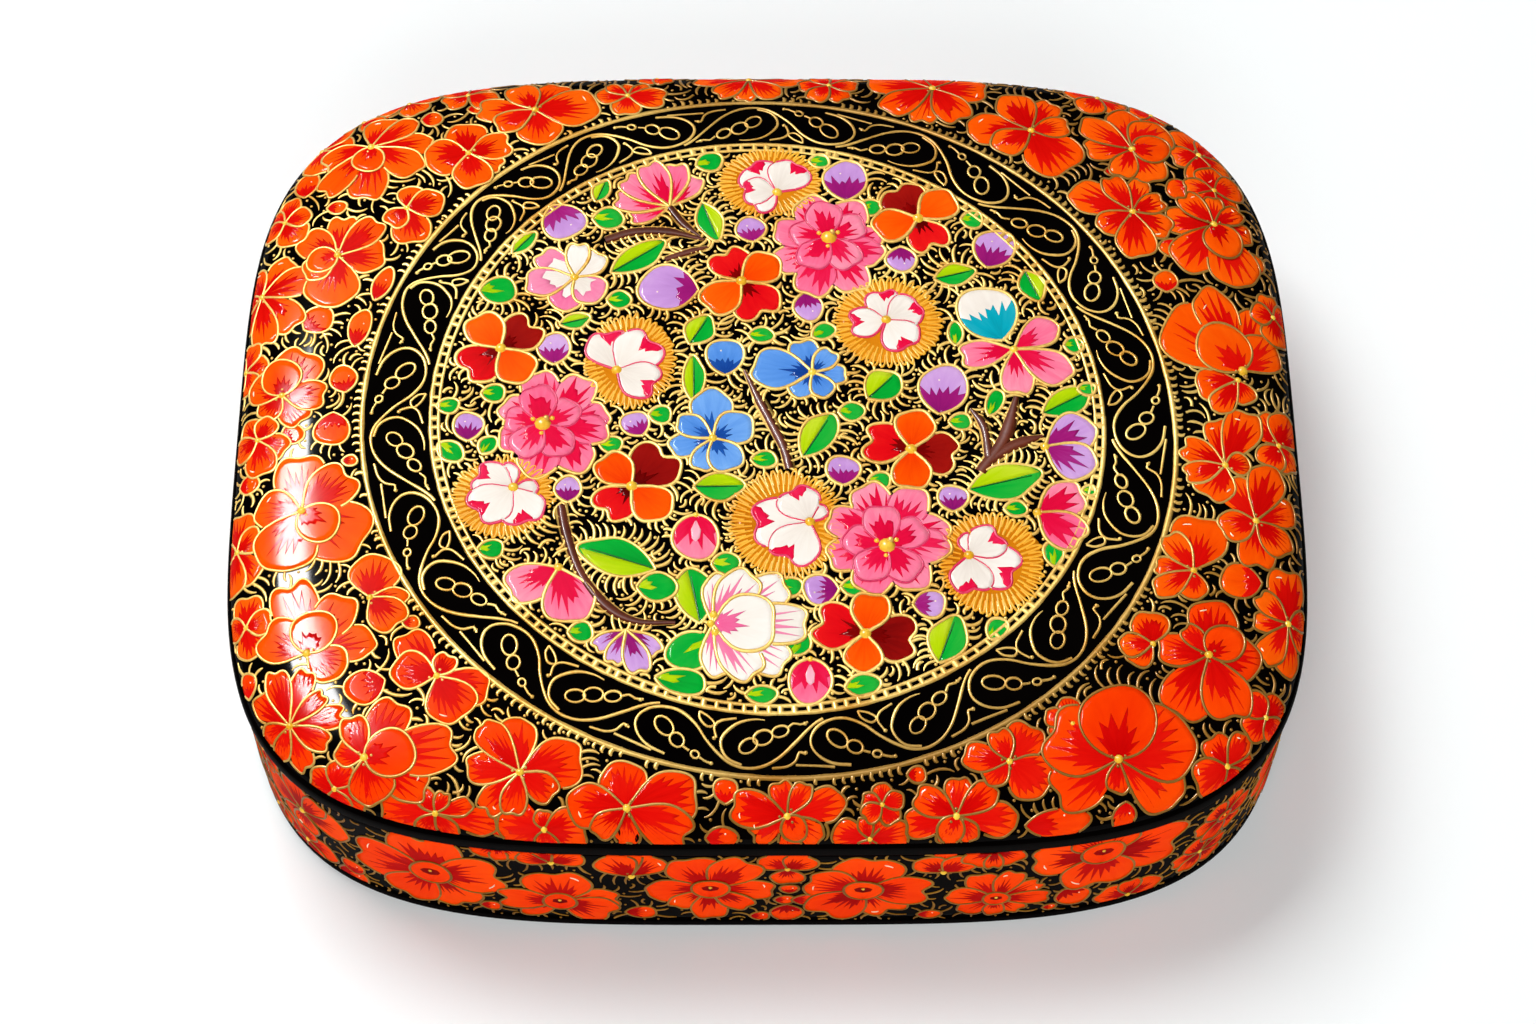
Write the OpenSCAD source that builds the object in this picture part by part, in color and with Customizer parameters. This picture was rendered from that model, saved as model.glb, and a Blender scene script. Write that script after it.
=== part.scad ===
// A lidded box of lacquered paper pulp: a shallow cushion-shaped lid that lifts off a straight-sided tray.
// Every piece follows one rounded outline, and each is drawn by how far it lies in from that outline.
// The box stands on z = 0, centred on the origin, with its length along X.

/* [Outline] */
// Length over the lid's black rim, left to right
box_length = 150; // [120:1:200]
// Width over the lid's black rim, front to back
box_width = 130; // [100:1:180]
// How square the outline is: 2 is an oval, and a higher number is squarer
outline_power = 4; // [2.5:0.1:6]

/* [Lid] */
// Height of the whole lid, from the seam to the crown
lid_height = 9; // [8:0.5:20]
// Thickness of the pulp at the crown
lid_crown_wall = 2.2; // [1.5:0.1:3]
// How flat the crown is outside: 2 is an even dome, and a higher number is flatter
crown_power = 3.8; // [2:0.1:5]
// How flat the crown is inside
hollow_power = 2.3; // [2:0.1:3]
// Height of the black rim band under the lid's shell
lid_rim_height = 2.8; // [2:0.1:4]
// How far the black rim band stands proud of the shell
lid_rim_proud = 0.3; // [0.1:0.1:0.8]
// Radius on the outer edges of the black rim band
lid_rim_round = 0.9; // [0.4:0.1:1]

/* [Tray] */
// Height of the tray, from the ground to the seam
tray_height = 23; // [15:0.5:60]
// How far the top of the tray's wall lies in from the lid's rim
tray_setback = 0.8; // [0.3:0.1:2]
// Thickness of the tray's wall at the seam
tray_wall = 3.2; // [3:0.1:5]
// How far the wall draws in from the seam to the foot
foot_draw = 0.4; // [0.2:0.1:2]
// How late that draw comes: 1 is a straight slope, and a higher number keeps the wall upright for longer
foot_draw_power = 2.2; // [1:0.1:4]
// Thickness of the black strip along the top of the wall
seat_thickness = 0.6; // [0.4:0.1:1.5]
// How far that strip stands proud of the wall
seat_proud = 0.1; // [0:0.05:0.3]

/* [Foot] */
// Height of the black foot band, and thickness of the floor board inside it
foot_height = 2.2; // [1.5:0.1:4]
// Radius on the foot band's lower edge
foot_round = 0.9; // [0.4:0.1:1.2]

/* [Collar] */
// Thickness of the strip that lines the tray and locates the lid
collar_thickness = 1.6; // [1:0.1:3]
// How far the collar stands above the seam
collar_stand = 2.4; // [1.5:0.1:2.4]
// Radius on the collar's two upper edges
collar_round = 0.5; // [0.2:0.1:0.5]
// Gap between the collar and the lid's rim, all round
lid_clearance = 0.4; // [0.2:0.1:0.8]

/* [Hidden] */

black = [0.05, 0.045, 0.04];
orange = [0.93, 0.33, 0.08];
pulp_black = [0.09, 0.08, 0.075];

// Points round the outline, and rings from the lid's shoulder to its crown
outline_steps = 96;
crown_rings = 12;
draw_rings = 6;
round_steps = 4;

lid_wall_top = tray_height + lid_rim_height;
lid_top = tray_height + lid_height;
collar_inset = tray_setback + tray_wall;
lid_mouth_inset = collar_inset - lid_clearance;
foot_inset = tray_setback + foot_draw;
wall_top = tray_height - seat_thickness;

// One closed ring of points on a rounded outline of the given half length and half width, at height z.
function outline_at(half_length, half_width, z) = [
    for (i = [0 : outline_steps - 1])
        let (
            turn = 360 * i / outline_steps,
            reach = pow(pow(abs(cos(turn)), outline_power) + pow(abs(sin(turn)), outline_power), -1 / outline_power)
        )
        [half_length * reach * cos(turn), half_width * reach * sin(turn), z]
];

// The box's outline, drawn in by inset.
function outline_in(inset, z = 0) = outline_at(box_length / 2 - inset, box_width / 2 - inset, z);

// The same outline as flat points, for pieces that are cut from board.
function flat_outline(inset) = [for (p = outline_in(inset)) [p.x, p.y]];

// A quarter round as [inset, z] points, from one angle to another about a centre.
function round_edge(inset, z, radius, from, to) = [
    for (i = [0 : round_steps])
        let (turn = from + (to - from) * i / round_steps)
        [inset - radius * cos(turn), z + radius * sin(turn)]
];

// Faces that join each ring of points to the next one in the list.
function bands(rings) = [
    for (r = [0 : rings - 2], i = [0 : outline_steps - 1])
        let (j = (i + 1) % outline_steps, low = r * outline_steps, high = low + outline_steps)
        [low + j, low + i, high + i, high + j]
];

// A closed section of [inset, z] points, carried once round the outline. The section runs down its outer side first.
module carried_round(section) {
    rings = len(section);
    points = [for (s = section) each outline_in(s[0], s[1])];
    closing = [
        for (i = [0 : outline_steps - 1])
            let (j = (i + 1) % outline_steps, last = (rings - 1) * outline_steps)
            [last + j, last + i, i, j]
    ];
    polyhedron(points = points, faces = concat(bands(rings), closing), convexity = 6);
}

// Height share and reach share of a crown curve, from its edge (turn 90) to its middle (turn 0).
function crown_reach(turn, power) = pow(sin(turn), 2 / power);
function crown_rise(turn, power) = pow(cos(turn), 2 / power);

// Where the outside crown curve is as high as the rim band
shell_edge_turn = acos(pow(lid_rim_height / lid_height, crown_power / 2));

// The cushion-shaped shell over the rim band: its outer rings run up to the crown, its inner ones back down.
module lid_shell() {
    outer_length = box_length / 2 - lid_rim_proud;
    outer_width = box_width / 2 - lid_rim_proud;
    inner_length = box_length / 2 - lid_mouth_inset;
    inner_width = box_width / 2 - lid_mouth_inset;
    hollow_height = lid_height - lid_crown_wall - lid_rim_height;
    outer = [
        for (r = [0 : crown_rings - 1])
            let (turn = shell_edge_turn * (1 - r / crown_rings), reach = crown_reach(turn, crown_power))
            each outline_at(outer_length * reach, outer_width * reach,
                            tray_height + lid_height * crown_rise(turn, crown_power))
    ];
    inner = [
        for (r = [crown_rings - 1 : -1 : 0])
            let (turn = 90 * (1 - r / crown_rings), reach = crown_reach(turn, hollow_power))
            each outline_at(inner_length * reach, inner_width * reach,
                            lid_wall_top + hollow_height * crown_rise(turn, hollow_power))
    ];
    crown = [0, 0, lid_top];
    ceiling = [0, 0, lid_wall_top + hollow_height];
    points = concat(outer, inner, [crown, ceiling]);
    crown_index = len(points) - 2;
    ceiling_index = len(points) - 1;
    top_ring = (crown_rings - 1) * outline_steps;
    inner_start = crown_rings * outline_steps;
    mouth_ring = (2 * crown_rings - 1) * outline_steps;
    steps = [for (i = [0 : outline_steps - 1]) [i, (i + 1) % outline_steps]];
    faces = concat(
        bands(crown_rings),
        [for (s = steps) [top_ring + s[1], top_ring + s[0], crown_index]],
        [for (s = steps) [inner_start + s[0], inner_start + s[1], ceiling_index]],
        [for (f = bands(crown_rings)) [for (k = f) k + inner_start]],
        [for (s = steps) [mouth_ring + s[1], mouth_ring + s[0], s[0], s[1]]]
    );
    color(orange) polyhedron(points = points, faces = faces, convexity = 6);
}

// The black band that binds the lid's cut edge: rounded outside, flat where it meets the tray.
module lid_rim_band() {
    top = lid_wall_top;
    seam = tray_height;
    color(black) carried_round(concat(
        [[lid_mouth_inset, seam], [lid_mouth_inset, top]],
        round_edge(lid_rim_round, top - lid_rim_round, lid_rim_round, 90, 0),
        round_edge(lid_rim_round, seam + lid_rim_round, lid_rim_round, 0, -90)
    ));
}

// The tray's wall: upright inside, drawing in towards the foot outside.
module tray_wall_ring() {
    color(orange) carried_round(concat(
        [[collar_inset, foot_height], [collar_inset, wall_top]],
        [
            for (r = [0 : draw_rings])
                let (down = r / draw_rings)
                [tray_setback + foot_draw * pow(down, foot_draw_power), wall_top - (wall_top - foot_height) * down]
        ]
    ));
}

// The thin black strip on top of the wall, which the lid's rim sits on.
module tray_seat_strip() {
    color(black)
        translate([0, 0, wall_top])
            linear_extrude(height = seat_thickness)
                difference() {
                    polygon(flat_outline(tray_setback - seat_proud));
                    polygon(flat_outline(collar_inset));
                }
}

// The strip that stands on the floor inside the wall, and rises past the seam to locate the lid.
module locating_collar() {
    top = tray_height + collar_stand;
    inner = collar_inset + collar_thickness;
    color(pulp_black) carried_round(concat(
        [[inner, foot_height]],
        round_edge(inner - collar_round, top - collar_round, collar_round, 180, 90),
        round_edge(collar_inset + collar_round, top - collar_round, collar_round, 90, 0),
        [[collar_inset, foot_height]]
    ));
}

// The flat board that closes the tray, flush with the underside of the foot band.
module floor_board() {
    color(pulp_black)
        linear_extrude(height = foot_height)
            polygon(flat_outline(collar_inset));
}

// The black band round the floor board, rounded where it meets the ground.
module foot_band() {
    color(black) carried_round(concat(
        [[collar_inset, 0], [collar_inset, foot_height], [foot_inset, foot_height]],
        round_edge(foot_inset + foot_round, foot_round, foot_round, 0, -90)
    ));
}

lid_shell();
lid_rim_band();
tray_wall_ring();
tray_seat_strip();
locating_collar();
floor_board();
foot_band();
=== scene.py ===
import math

import bmesh
import bpy
import numpy as np
from mathutils import Matrix, Quaternion, Vector


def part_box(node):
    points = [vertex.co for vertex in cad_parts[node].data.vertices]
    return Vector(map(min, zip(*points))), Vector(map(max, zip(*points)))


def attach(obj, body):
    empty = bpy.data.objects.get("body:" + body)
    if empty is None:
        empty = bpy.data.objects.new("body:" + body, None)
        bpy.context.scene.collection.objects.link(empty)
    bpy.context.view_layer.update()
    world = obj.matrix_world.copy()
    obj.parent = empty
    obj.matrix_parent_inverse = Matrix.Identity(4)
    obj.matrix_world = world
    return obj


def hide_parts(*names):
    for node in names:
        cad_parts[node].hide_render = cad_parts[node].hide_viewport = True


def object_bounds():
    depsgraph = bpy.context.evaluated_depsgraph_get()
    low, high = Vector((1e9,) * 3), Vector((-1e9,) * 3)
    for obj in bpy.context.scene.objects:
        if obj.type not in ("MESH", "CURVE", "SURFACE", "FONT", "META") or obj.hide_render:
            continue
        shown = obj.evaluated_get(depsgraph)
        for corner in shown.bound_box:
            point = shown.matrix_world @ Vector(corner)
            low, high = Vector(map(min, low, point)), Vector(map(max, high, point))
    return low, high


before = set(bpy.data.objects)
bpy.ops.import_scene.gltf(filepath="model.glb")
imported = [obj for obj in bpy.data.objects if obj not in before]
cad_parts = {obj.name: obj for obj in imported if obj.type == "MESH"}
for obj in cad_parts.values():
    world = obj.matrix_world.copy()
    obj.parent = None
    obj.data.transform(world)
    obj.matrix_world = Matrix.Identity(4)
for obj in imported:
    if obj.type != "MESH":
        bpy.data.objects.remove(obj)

MM = 0.001
cad_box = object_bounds()


# ---------------------------------------------------------------- camera
# The box is seen from well above its front, through a long lens, as in a shop photograph. The small
# turn and roll are how it was set down on the table, and nothing is shifted.
LENS = 90.6
CAMERA_RISE = math.radians(57.49)
CAMERA_TURN = math.radians(-0.68)
CAMERA_ROLL = math.radians(0.5)
CAMERA_DISTANCE = 543.3 * MM
LOOK_AT = Vector((0.1, -10.43, 23.0)) * MM

back = Vector((math.sin(CAMERA_TURN) * math.cos(CAMERA_RISE),
               -math.cos(CAMERA_TURN) * math.cos(CAMERA_RISE),
               math.sin(CAMERA_RISE)))
level = Vector((math.cos(CAMERA_TURN), math.sin(CAMERA_TURN), 0.0))
upward = back.cross(level)
right = level * math.cos(CAMERA_ROLL) + upward * math.sin(CAMERA_ROLL)
top = upward * math.cos(CAMERA_ROLL) - level * math.sin(CAMERA_ROLL)
eye = LOOK_AT + back * CAMERA_DISTANCE

camera = bpy.data.objects.new("camera", bpy.data.cameras.new("camera"))
bpy.context.collection.objects.link(camera)
camera.data.lens = LENS
camera.data.sensor_width = 36.0
camera.data.clip_start = 0.01
camera.data.clip_end = 20.0
camera.matrix_world = Matrix([(right[i], top[i], back[i], eye[i]) for i in range(3)] + [(0, 0, 0, 1)])
bpy.context.scene.camera = camera


# ---------------------------------------------------------------- tray
# The lower half of the box: a wall of paper pulp laid over a wooden mould, cut free, sanded and
# lacquered black. A floor board and a thin foot close it below, and a collar inside holds the lid.
low, high = (np.array(corner) / MM for corner in cad_box)
HALF_LENGTH, HALF_WIDTH = high[0], high[1]
OUTLINE_POWER = 4
OUTLINE_STEPS = 288
SHARP_EDGE = math.radians(35)
ROUND_STEPS = 5


def outline(angle):
    """A point of the box's squared round outline, for half sizes of one."""
    c, s = np.cos(angle), np.sin(angle)
    reach = (np.abs(c) ** OUTLINE_POWER + np.abs(s) ** OUTLINE_POWER) ** (-1 / OUTLINE_POWER)
    return c * reach, s * reach


def link(name, mesh):
    """Put a mesh in the scene as an object."""
    made = bpy.data.objects.new(name, mesh)
    bpy.context.collection.objects.link(made)
    return made


def hooped_shell(name, hoops):
    """A closed shell over hoops of (half length, half width, height) in mm. A hoop of no size is a
    pole. Hoops that don't start at a pole run round and meet the first again."""
    angles = np.linspace(0, 2 * math.pi, OUTLINE_STEPS, endpoint=False)
    across, along = outline(angles)
    shape = bmesh.new()
    rings = []
    for half_length, half_width, height in hoops:
        if half_length == 0:
            rings.append([shape.verts.new((0, 0, height * MM))] * OUTLINE_STEPS)
            continue
        rings.append([shape.verts.new((half_length * u * MM, half_width * v * MM, height * MM))
                      for u, v in zip(across, along)])
    if hoops[0][0] != 0:
        rings.append(rings[0])
    for upper, lower in zip(rings, rings[1:]):
        for i in range(OUTLINE_STEPS):
            j = (i + 1) % OUTLINE_STEPS
            corners = [upper[i], lower[i], lower[j], upper[j]]
            shape.faces.new(list(dict.fromkeys(corners)))
    for face in shape.faces:
        face.smooth = True
    for edge in shape.edges:
        edge.smooth = edge.calc_face_angle(0) < SHARP_EDGE
    mesh = bpy.data.meshes.new(name)
    shape.to_mesh(mesh)
    shape.free()
    return link(name, mesh)


def band(name, profile):
    """A hoop-shaped solid from a closed profile of (inset, height), down its outside first."""
    return hooped_shell(name, [(HALF_LENGTH - inset, HALF_WIDTH - inset, z) for inset, z in profile])


def rounded(inset, height, radius, start, end):
    """Profile points round a corner's centre, from one angle to another, in degrees."""
    turns = [math.radians(start + (end - start) * i / ROUND_STEPS) for i in range(ROUND_STEPS + 1)]
    return [(inset - radius * math.cos(t), height + radius * math.sin(t)) for t in turns]


def linear(code):
    """An sRGB hex colour as Blender's linear one."""
    parts = [int(code[i:i + 2], 16) / 255 for i in (1, 3, 5)]
    return tuple(p / 12.92 if p <= 0.04045 else ((p + 0.055) / 1.055) ** 2.4 for p in parts) + (1.0,)


def add_node(tree, kind, inputs=None, **settings):
    """Add a node with its settings. An input's value may be a socket, which is linked, or a node,
    whose first output is."""
    made = tree.nodes.new(kind)
    for key, value in settings.items():
        setattr(made, key, value)
    for key, value in (inputs or {}).items():
        if isinstance(value, bpy.types.Node):
            value = value.outputs[0]
        if isinstance(value, bpy.types.NodeSocket):
            tree.links.new(value, made.inputs[key])
        else:
            made.inputs[key].default_value = value
    return made


def new_finish(name):
    """An empty material and its node tree."""
    finish = bpy.data.materials.new(name)
    finish.use_nodes = True
    finish.node_tree.nodes.clear()
    return finish, finish.node_tree


def set_ramp(ramp, stops):
    """Give a colour ramp its stops, each a place and a hex colour."""
    elements = ramp.color_ramp.elements
    while len(elements) < len(stops):
        elements.new(0.5)
    for element, (place, code) in zip(elements, stops):
        element.position = place
        element.color = linear(code)


CLOUD_WIDTH = 14
VARNISH_IOR = 1.5


def black_lacquer(name, deep, wear_and_shade, roughness, coat, grain_mm, grain_height):
    """Lampblack lacquer over sanded paper pulp: near black, with faint clouds where it was rubbed
    down, and a skin that still follows the pulp a little. Varnished, only its varnish shines."""
    finish, tree = new_finish(name)
    where = add_node(tree, "ShaderNodeTexCoord").outputs["Object"]
    clouds = add_node(tree, "ShaderNodeTexNoise",
                      {"Vector": where, "Scale": 1 / (CLOUD_WIDTH * MM), "Detail": 4.0, "Roughness": 0.6})
    tone = add_node(tree, "ShaderNodeValToRGB", {"Fac": clouds})
    set_ramp(tone, [(0.3, deep), (0.8, wear_and_shade)])
    pulp = add_node(tree, "ShaderNodeTexNoise",
                    {"Vector": where, "Scale": 1 / (grain_mm * MM), "Detail": 3.0})
    skin = add_node(tree, "ShaderNodeBump",
                    {"Height": pulp, "Strength": 0.6, "Distance": grain_height * MM})
    shine = add_node(tree, "ShaderNodeMapRange",
                     {"Value": clouds, "To Min": roughness * 0.8, "To Max": roughness * 1.3})
    body = add_node(tree, "ShaderNodeBsdfPrincipled",
                    {"Base Color": tone, "Roughness": shine, "Normal": skin, "IOR": VARNISH_IOR,
                     "Specular IOR Level": 0.0 if coat else 0.15,
                     "Coat Weight": coat, "Coat Roughness": 0.06})
    add_node(tree, "ShaderNodeOutputMaterial", {"Surface": body})
    return finish


# Varnished lacquer takes a sharp reflection. The inside and the base were left as rubbed lacquer,
# which is satin, with the pulp's grain still to be seen.
varnished_black = black_lacquer("varnished black lacquer", "#020101", "#060403", 0.25, 0.07, 6, 0.02)
rubbed_black = black_lacquer("rubbed black lacquer on pulp", "#0B0A09", "#1B1714", 0.42, 0.0, 1.1, 0.05)
edge_black = black_lacquer("black lacquered edge", "#020101", "#060403", 0.3, 0.06, 3, 0.02)

foot_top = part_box("foot_band")[1][2] / MM
wall_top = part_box("tray_wall_ring")[1][2] / MM
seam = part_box("tray_seat_strip")[1][2] / MM
collar_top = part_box("locating_collar")[1][2] / MM
WALL_SETBACK = 0.8
WALL_INNER = 4.0
FOOT_DRAW = 0.4
FOOT_DRAW_POWER = 2.2
WALL_HOOPS = 12


def wall_inset(height):
    """How far the wall's outside lies in from the lid's edge, which grows a little to the foot."""
    down = np.clip((wall_top - height) / (wall_top - foot_top), 0, 1)
    return WALL_SETBACK + FOOT_DRAW * down ** FOOT_DRAW_POWER


def dressed(piece, body, node_name, finish):
    """A finished piece that stands for a solid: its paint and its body."""
    piece.data.materials.append(finish)
    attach(piece, body)
    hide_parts(node_name)
    return piece


wall_heights = [wall_top - (wall_top - foot_top) * i / WALL_HOOPS for i in range(WALL_HOOPS + 1)]
wall_profile = ([(float(wall_inset(z)), z) for z in wall_heights]
                + [(WALL_INNER, z) for z in (foot_top, (foot_top + wall_top) / 2, wall_top)])
dressed(band("tray_wall", wall_profile), "tray", "tray_wall_ring", varnished_black)

SEAT_INSET = 0.7
SEAT_LAP = 0.1
dressed(band("tray_lip", [(SEAT_INSET, seam - SEAT_LAP), (SEAT_INSET, wall_top), (WALL_INNER, wall_top),
                          (WALL_INNER, seam), (SEAT_INSET + SEAT_LAP, seam)]),
        "tray", "tray_seat_strip", edge_black)

COLLAR_THICKNESS = 1.6
COLLAR_ROUND = 0.5
collar_inner = WALL_INNER + COLLAR_THICKNESS
collar_shoulder = collar_top - COLLAR_ROUND
dressed(band("locating_collar_ring",
             rounded(WALL_INNER + COLLAR_ROUND, collar_shoulder, COLLAR_ROUND, 90, 0)
             + [(WALL_INNER, foot_top), (collar_inner, foot_top)]
             + rounded(collar_inner - COLLAR_ROUND, collar_shoulder, COLLAR_ROUND, 180, 90)),
        "tray", "locating_collar", rubbed_black)

FOOT_INSET = 1.2
FOOT_ROUND = 0.9
dressed(band("foot", [(FOOT_INSET, foot_top)]
             + rounded(FOOT_INSET + FOOT_ROUND, FOOT_ROUND, FOOT_ROUND, 0, -90)
             + [(WALL_INNER, 0), (WALL_INNER, foot_top)]),
        "tray", "foot_band", edge_black)

FLOOR_EASE = 0.4
floor_length, floor_width = HALF_LENGTH - WALL_INNER, HALF_WIDTH - WALL_INNER
floor_hoops = [(share * floor_length, share * floor_width, foot_top) for share in (0, 0.5)]
floor_hoops += [(floor_length - FLOOR_EASE, floor_width - FLOOR_EASE, foot_top),
                (floor_length, floor_width, foot_top - FLOOR_EASE),
                (floor_length, floor_width, FLOOR_EASE),
                (floor_length - FLOOR_EASE, floor_width - FLOOR_EASE, 0),
                (floor_length / 2, floor_width / 2, 0), (0, 0, 0)]
dressed(hooped_shell("tray_floor", floor_hoops), "tray", "floor_board", rubbed_black)


# ---------------------------------------------------------------- lid
# The lid is a low dome of the same pulp with a rounded black band glued on under it, which meets the
# tray. Its hollow is black too.
HOLLOW_DEPTH = 4.0
CROWN_STEPS = 60
FLAT_STEPS = 12
HOLLOW_STEPS = 24
lid_top = high[2]
rim_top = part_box("lid_rim_band")[1][2] / MM
hollow_top = rim_top + HOLLOW_DEPTH
RIM_PROUD = 0.3
LID_WALL = 3.6
CROWN_POWER = 3.8
HOLLOW_POWER = 2.3
RIM_ROUND = 0.9
lid_length, lid_width = HALF_LENGTH - RIM_PROUD, HALF_WIDTH - RIM_PROUD
lid_height = lid_top - seam


def crown_height(reach):
    """Height of the dome above the ground, where reach runs from 0 at its middle to 1 at its edge."""
    return seam + lid_height * (1 - np.clip(reach, 0, 1) ** CROWN_POWER) ** (1 / CROWN_POWER)


def crown_reach(height):
    """The reach at which the dome is this high."""
    return (1 - ((height - seam) / lid_height) ** CROWN_POWER) ** (1 / CROWN_POWER)


rim_reach = crown_reach(rim_top)
turns = np.linspace(0, 1, CROWN_STEPS + 1)
crown = [(0, 0, lid_top)]
for turn in turns[1:]:
    height = lid_top - (lid_top - rim_top) * (1 - math.cos(turn * math.pi / 2))
    reach = crown_reach(height) if turn < 1 else rim_reach
    crown.append((lid_length * reach, lid_width * reach, height))
flat_reach = crown[1][0] / lid_length
crown[1:1] = [(lid_length * flat_reach * i / FLAT_STEPS, lid_width * flat_reach * i / FLAT_STEPS,
               float(crown_height(flat_reach * i / FLAT_STEPS))) for i in range(1, FLAT_STEPS)]
hollow = []
for turn in np.linspace(0, 1, HOLLOW_STEPS):
    reach = math.cos(turn * math.pi / 2)
    height = rim_top + (hollow_top - rim_top) * (1 - reach ** HOLLOW_POWER) ** (1 / HOLLOW_POWER)
    hollow.append(((HALF_LENGTH - LID_WALL) * reach, (HALF_WIDTH - LID_WALL) * reach, height))
hollow[-1] = (0, 0, hollow_top)
shell = hooped_shell("lid_shell_lacquered", crown + hollow)
dressed(shell, "lid", "lid_shell", varnished_black)
shell.data.materials.append(rubbed_black)
for face in shell.data.polygons:
    face.material_index = int(face.normal.z < 0)

dressed(band("lid_rim",
             rounded(RIM_ROUND, rim_top - RIM_ROUND, RIM_ROUND, 90, 0)
             + rounded(RIM_ROUND, seam + RIM_ROUND, RIM_ROUND, 0, -90)
             + [(LID_WALL, seam), (LID_WALL, rim_top)]),
        "lid", "lid_rim_band", edge_black)


# ---------------------------------------------------------------- the beds for the painting
# The painter works straight on the lacquer, so each flower follows the surface. The lid is laid out
# flat as a sheet whose lengths run over the shoulder, and the wall as a strip from the front middle.
REACH_TABLE = 1 - np.linspace(1, 0, 2001) ** 3
MEAN_HALF = (lid_length + lid_width) / 2
ARC_TABLE = np.hypot(np.diff(REACH_TABLE) * MEAN_HALF, np.diff(crown_height(REACH_TABLE)))
ARC_TABLE = np.concatenate([[0], np.cumsum(ARC_TABLE)]) / MEAN_HALF


def raised(place, normal, lift):
    """Places in mm lifted off their bed, in metres, and the direction that the bed faces there."""
    normal = normal / np.linalg.norm(normal, axis=-1, keepdims=True)
    return (place + normal * np.asarray(lift)[..., None]) * MM, normal


def lid_spread(x, y):
    """How far out a point of the lid's flat layout lies, as a share of the lid's half size."""
    u, v = np.abs(x / lid_length), np.abs(y / lid_width)
    return (u ** OUTLINE_POWER + v ** OUTLINE_POWER) ** (1 / OUTLINE_POWER)


def lid_bed(x, y, lift):
    """Where a point of the lid's flat layout lies on the dome, in metres, lifted by its paint."""
    spread = lid_spread(x, y)
    reach = np.interp(spread, ARC_TABLE, REACH_TABLE)
    shrink = reach / np.maximum(spread, 1e-9)
    px, py, pz = x * shrink, y * shrink, crown_height(reach)
    pz = pz - np.maximum(spread - ARC_TABLE[-1], 0) * MEAN_HALF
    slope = np.maximum(reach, 1e-6) ** (CROWN_POWER - OUTLINE_POWER)
    nx = slope * np.abs(px / lid_length) ** 3 * np.sign(px) / lid_length
    ny = slope * np.abs(py / lid_width) ** 3 * np.sign(py) / lid_width
    nz = np.clip((pz - seam) / lid_height, 0, 1) ** (CROWN_POWER - 1) / lid_height
    return raised(np.stack([px, py, pz], -1), np.stack([nx, ny, nz], -1), lift)


ANGLE_TABLE = np.linspace(-math.pi / 2, 1.5 * math.pi, 4001)
wall_u, wall_v = outline(ANGLE_TABLE)
wall_steps = np.hypot(np.diff(wall_u * (HALF_LENGTH - WALL_SETBACK)),
                      np.diff(wall_v * (HALF_WIDTH - WALL_SETBACK)))
RUN_TABLE = np.concatenate([[0], np.cumsum(wall_steps)])
WALL_LENGTH = RUN_TABLE[-1]


def wall_bed(x, y, lift):
    """Where a point of the wall's strip lies: x runs round from the front middle, y is the height."""
    angle = np.interp(np.mod(x, WALL_LENGTH), RUN_TABLE, ANGLE_TABLE)
    u, v = outline(angle)
    inset = wall_inset(y)
    px, py = u * (HALF_LENGTH - inset), v * (HALF_WIDTH - inset)
    normal = np.stack([np.abs(u) ** 3 * np.sign(u) / HALF_LENGTH,
                       np.abs(v) ** 3 * np.sign(v) / HALF_WIDTH, 0 * u], -1)
    return raised(np.stack([px, py, y + 0 * u], -1), normal, lift)


# ---------------------------------------------------------------- brushwork
# Every petal and leaf is one fat touch of body colour that swells a little in its middle. What is
# laid later lies over what was laid before, and hides its edge.
COAT_STEP = 0.035
PAINT_LIFT = 0.045
STROKE_RISE = 0.018
PAINT_SWELL = 0.012
PAINT_ROOT = 0.1
ROW_LENGTH = 0.9
PETAL_FOOT = 0.03
PETAL_SIDE = 0.97
PETAL_END = 0.985
LINE_END = 0.35


class Petal:
    """One touch of the brush from its base point: its aim and half angle in degrees, its length in
    mm. Fullness under 1 squares its tip, notch pulls the tip in, or out where it is negative, and
    waver is how far the hand strays at its edge."""

    def __init__(self, x, y, aim, length, spread=52, fullness=0.45, notch=0.07, width=1.0, waver=0.03):
        self.x, self.y, self.length = x, y, length
        self.aim, self.spread = math.radians(aim), math.radians(spread)
        self.fullness, self.notch, self.width, self.waver = fullness, notch, width, waver
        self.coat = 0

    def tip(self, across):
        """How far the brush reached at each part of its spread, as a share of the length."""
        reached = np.cos(across * math.pi / 2) ** self.fullness
        reached = reached * (1 - self.notch * np.exp(-(across / 0.2) ** 2))
        return reached * (1 + self.waver * np.sin(8 * across + 5 * self.x + 3 * self.y + self.aim))

    def place(self, across, along):
        turn = across * self.spread
        tip = self.tip(across)
        forward = self.length * along * tip * np.cos(turn)
        side = self.length * along * tip * np.sin(turn) * self.width
        c, s = math.cos(self.aim), math.sin(self.aim)
        return self.x + forward * c - side * s, self.y + forward * s + side * c

    def top(self):
        """How high its paint stands over the lacquer."""
        return self.coat * COAT_STEP + PAINT_LIFT

    def rim(self):
        """Half way up the paint at its edge, where an outline is drawn."""
        return self.coat * COAT_STEP + PAINT_LIFT / 2

    def lift(self, across, along):
        return self.top() + PAINT_SWELL * np.sin(math.pi * along ** 1.3) ** 0.8 * (1 - across ** 4)

    def edge(self):
        """Its outline, from the base up one side, round the tip and back."""
        side = np.full(7, PETAL_SIDE)
        climb = np.linspace(PETAL_FOOT, 0.9, 7)
        across = np.concatenate([-side, np.linspace(-PETAL_SIDE, PETAL_SIDE, 33), side])
        along = np.concatenate([climb, np.ones(33), climb[::-1]])
        return np.stack(self.place(across, along), -1)


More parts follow.
